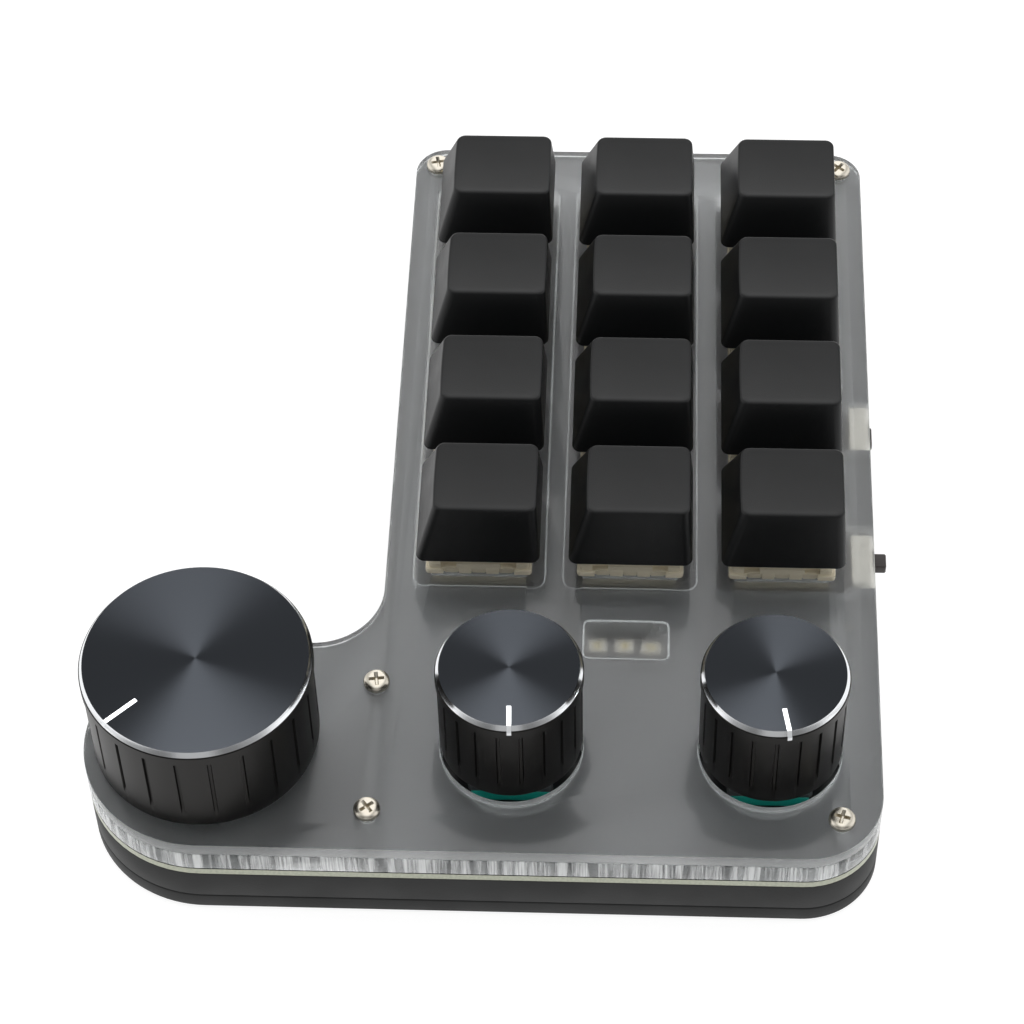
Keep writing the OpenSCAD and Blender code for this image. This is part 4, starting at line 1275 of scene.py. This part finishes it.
# %% [markdown]
# ## Charging port
# A folded steel shell, open at the rear, with a thin tongue inside. The shell is a
# stadium-shaped tube, which a curve with a thickness could draw as well. A slab with one
# hole, stood on its side, makes it with the rounds on its mouth already in place.

# %% Make the charging port
SHELL_T, PORT_L = 0.3, 7.3
BACK_T, BACK_IN = 0.7, 0.1
TAB_BACK, TAB_L = (3.4, 6.2), 1.1
CONTACT_COUNT, CONTACT_PITCH = 12, 0.5
CONTACT_W, CONTACT_PROUD = 0.26, 0.02
CONTACT_START, CONTACT_END = 2.2, 0.4

port_mouth = port_high.y
shell = slab("shell", [stadium(PORT_W, PORT_H), stadium(PORT_W - 2 * SHELL_T, PORT_H - 2 * SHELL_T)],
             0, PORT_L, [NICKEL], 0.08)
port_back = slab("back", [stadium(PORT_W - 2 * BACK_IN, PORT_H - 2 * BACK_IN)],
                 PORT_L - BACK_IN - BACK_T, PORT_L - BACK_IN, [NICKEL], 0.05)
parts = [stood_up(piece, port_x, port_mouth, PORT_Z) for piece in (shell, port_back)]
for side in (-1, 1):
    for back_by in TAB_BACK:
        x = port_x + side * (PORT_W - SHELL_T) / 2
        y = port_mouth - back_by
        parts.append(block("tab", (x - SHELL_T / 2, y - TAB_L / 2, PORT_Z),
                           (x + SHELL_T / 2, y + TAB_L / 2, port_high.z), NICKEL, 0.1, 0.05))
dress(joined("usb_shell_dressed", parts), "usb_shell")
tongue_low, tongue_high = box_mm("usb_tongue")
tongue_parts = [box_piece("tongue", "usb_tongue", BLACK_ACETAL, 0.4, 0.15)]
for k in range(CONTACT_COUNT):
    x = port_x + (k - (CONTACT_COUNT - 1) / 2) * CONTACT_PITCH
    low = (x - CONTACT_W / 2, tongue_high.y - CONTACT_START, tongue_low.z - CONTACT_PROUD)
    high = (x + CONTACT_W / 2, tongue_high.y - CONTACT_END, tongue_high.z + CONTACT_PROUD)
    tongue_parts.append(block("contact", low, high, BRASS, 0.05, 0.02))
dress(joined("usb_tongue_dressed", tongue_parts), "usb_tongue")
print("charging port ready, with", CONTACT_COUNT, "contacts")

# %% [markdown]
# ## Lights and what the case holds
# Three small lights sit in a window of the spacer. Each is a white cup filled with yellow
# phosphor. Under a sheet that blurs them, painted squares would look much the same, but a
# carved cup is shaded rightly from every side. The pieces inside the case keep their
# plain shape and get a true finish, since nothing of them shows from outside.

# %% Lights and inner parts
LED_W, LED_D, LED_H = 2.0, 2.8, 0.9
WELL_R, WELL_FLOOR = 0.5, 0.4
WELL_PAST_R, WELL_PAST = 0.75, 1.5
RESIN_CROWN = [(0.7, 0.82), (0.4, 0.86), (0, 0.88)]

led_places = island_middles("status_leds")
cup = slab("cup", [rectangle(0, 0, LED_W, LED_D, 0.15)], 0, LED_H, [LED_BODY], 0.06)
well_profile = [(0, WELL_FLOOR), (WELL_R, WELL_FLOOR), (WELL_PAST_R, WELL_PAST), (0, WELL_PAST)]
carved(cup, turned("well", well_profile, [LED_RESIN], 32))
resin_low = WELL_FLOOR + HAIR
resin = turned("resin", [(0, resin_low), (WELL_R, resin_low)] + RESIN_CROWN, [LED_RESIN], 32)
copies(joined("led", [cup, resin]), "status_led_#", led_places, BOARD_TOP, "status_leds")
for node, material in {"circuit_board": LAMINATE, "standoffs": BRASS, "base_screws": NICKEL,
                       "switch_contacts": COPPER, "controller_chips": CHIP_EPOXY, "battery": FOIL,
                       "battery_leads": RED_PVC}.items():
    finish_part(node, material)
print("lights:", len(led_places))

# %% [markdown]
# ## Floor
# The keypad stands on a light table: a plain pale floor that glows a little, most of all
# near the object. A large lamp under the floor would need it to be glass, and emission
# that fades with the distance from the object gives the same look at no cost.

# %% Lay the floor
FLOOR_HALF = 4000
LIT_MIDDLE = (-70, -10)
LIT_R, LIT_FADE = 205, 700
TABLE_GLOW, FAR_GLOW = 0.85, 0.42
WHITE = linear("#ffffff")

floor_material, floor_tree, floor_shader = new_material("light_table_acrylic", "#949494", 0.9)
floor_place = add_node(floor_tree, "TexCoord").outputs["Object"]
lit_middle = [c * MM for c in LIT_MIDDLE] + [0]
from_middle = add_node(floor_tree, "VectorMath", {"operation": "DISTANCE", 1: lit_middle}, {0: floor_place})
glow = add_node(floor_tree, "MapRange", {
    "interpolation_type": "SMOOTHSTEP", "From Min": LIT_R * MM, "From Max": (LIT_R + LIT_FADE) * MM,
    "To Min": TABLE_GLOW, "To Max": FAR_GLOW}, {"Value": from_middle.outputs["Value"]})
floor_shader.inputs["Emission Color"].default_value = WHITE
floor_tree.links.new(glow.outputs[0], floor_shader.inputs["Emission Strength"])
floor_corners = [(-FLOOR_HALF, -FLOOR_HALF, 0), (FLOOR_HALF, -FLOOR_HALF, 0),
                 (FLOOR_HALF, FLOOR_HALF, 0), (-FLOOR_HALF, FLOOR_HALF, 0)]
mesh_piece("studio_floor", floor_corners, [(0, 1, 2, 3)], [floor_material], smooth=False)
print("floor of", 2 * FLOOR_HALF, "mm")

# %% [markdown]
# ## Studio walls
# The light round the object is that of a white studio. A bright band of wall runs over
# the keypad from front to back, the walls to its sides are dimmer, and the side that the
# picture is taken from is darker still, which keeps the front faces black. Real walls
# would be four more meshes and lamps. A world whose strength depends only on the
# direction does the same, since the walls are far away.

# %% Light the walls
BACK_WALL, DIM_WALL, SIDE_WALLS = 1.65, 0.7, 1.25
CAMERA_SIDE = 0.3
BAND_EDGE, SIDES_EDGE, CAMERA_EDGE = (0.15, 0.4), (0.45, 0.8), (0.25, 0.65)

world = bpy.data.worlds.new("studio")
world.use_nodes = True
sky = world.node_tree
direction = add_node(sky, "TexCoord").outputs["Generated"]
split = add_node(sky, "SeparateXYZ", links={"Vector": direction})
aside = add_node(sky, "Math", {"operation": "ABSOLUTE"}, {0: split.outputs["Y"]}).outputs[0]
shares = []
for source, (edge_start, edge_end), before, after in (
        (aside, BAND_EDGE, BACK_WALL, DIM_WALL),
        (aside, SIDES_EDGE, 0.0, SIDE_WALLS - DIM_WALL),
        (split.outputs["X"], CAMERA_EDGE, 1.0, CAMERA_SIDE)):
    share = add_node(sky, "MapRange", {
        "interpolation_type": "SMOOTHSTEP", "From Min": edge_start, "From Max": edge_end,
        "To Min": before, "To Max": after}, {"Value": source})
    shares.append(share.outputs[0])
band, sides, dimming = shares
walls = add_node(sky, "Math", {"operation": "ADD"}, {0: band, 1: sides})
dimmed = add_node(sky, "Math", {"operation": "MULTIPLY"}, {0: walls.outputs[0], 1: dimming})
sky.links.new(dimmed.outputs[0], sky.nodes["Background"].inputs["Strength"])
sky.nodes["Background"].inputs["Color"].default_value = WHITE
bpy.context.scene.world = world
print("walls from", round(CAMERA_SIDE * DIM_WALL, 2), "to", BACK_WALL)

# %% [markdown]
# ## Soft box
# A wide soft box overhead draws the hour-glass on the spun knobs. It would also draw
# blotches on the frosted plate, so light linking lets it reach only the turned parts.

# %% Hang the soft box
KEY_AT = (-25, -65, 620)
KEY_SIZE = (420, 310)
KEY_POWER = 5.7

light = bpy.data.lights.new("soft_box", "AREA")
light.shape = "RECTANGLE"
light.size, light.size_y = (side * MM for side in KEY_SIZE)
light.energy = KEY_POWER
lamp = bpy.data.objects.new("soft_box", light)
lamp.location = Vector(KEY_AT) * MM
bpy.context.scene.collection.objects.link(lamp)
turned_parts = bpy.data.collections.new("turned_parts")
for knob in KNOBS:
    for part_name in (f"{knob}_dressed", f"{knob}_pointer"):
        turned_parts.objects.link(bpy.data.objects[part_name])
lamp.light_linking.receiver_collection = turned_parts
bpy.context.scene.view_settings.view_transform = "Standard"
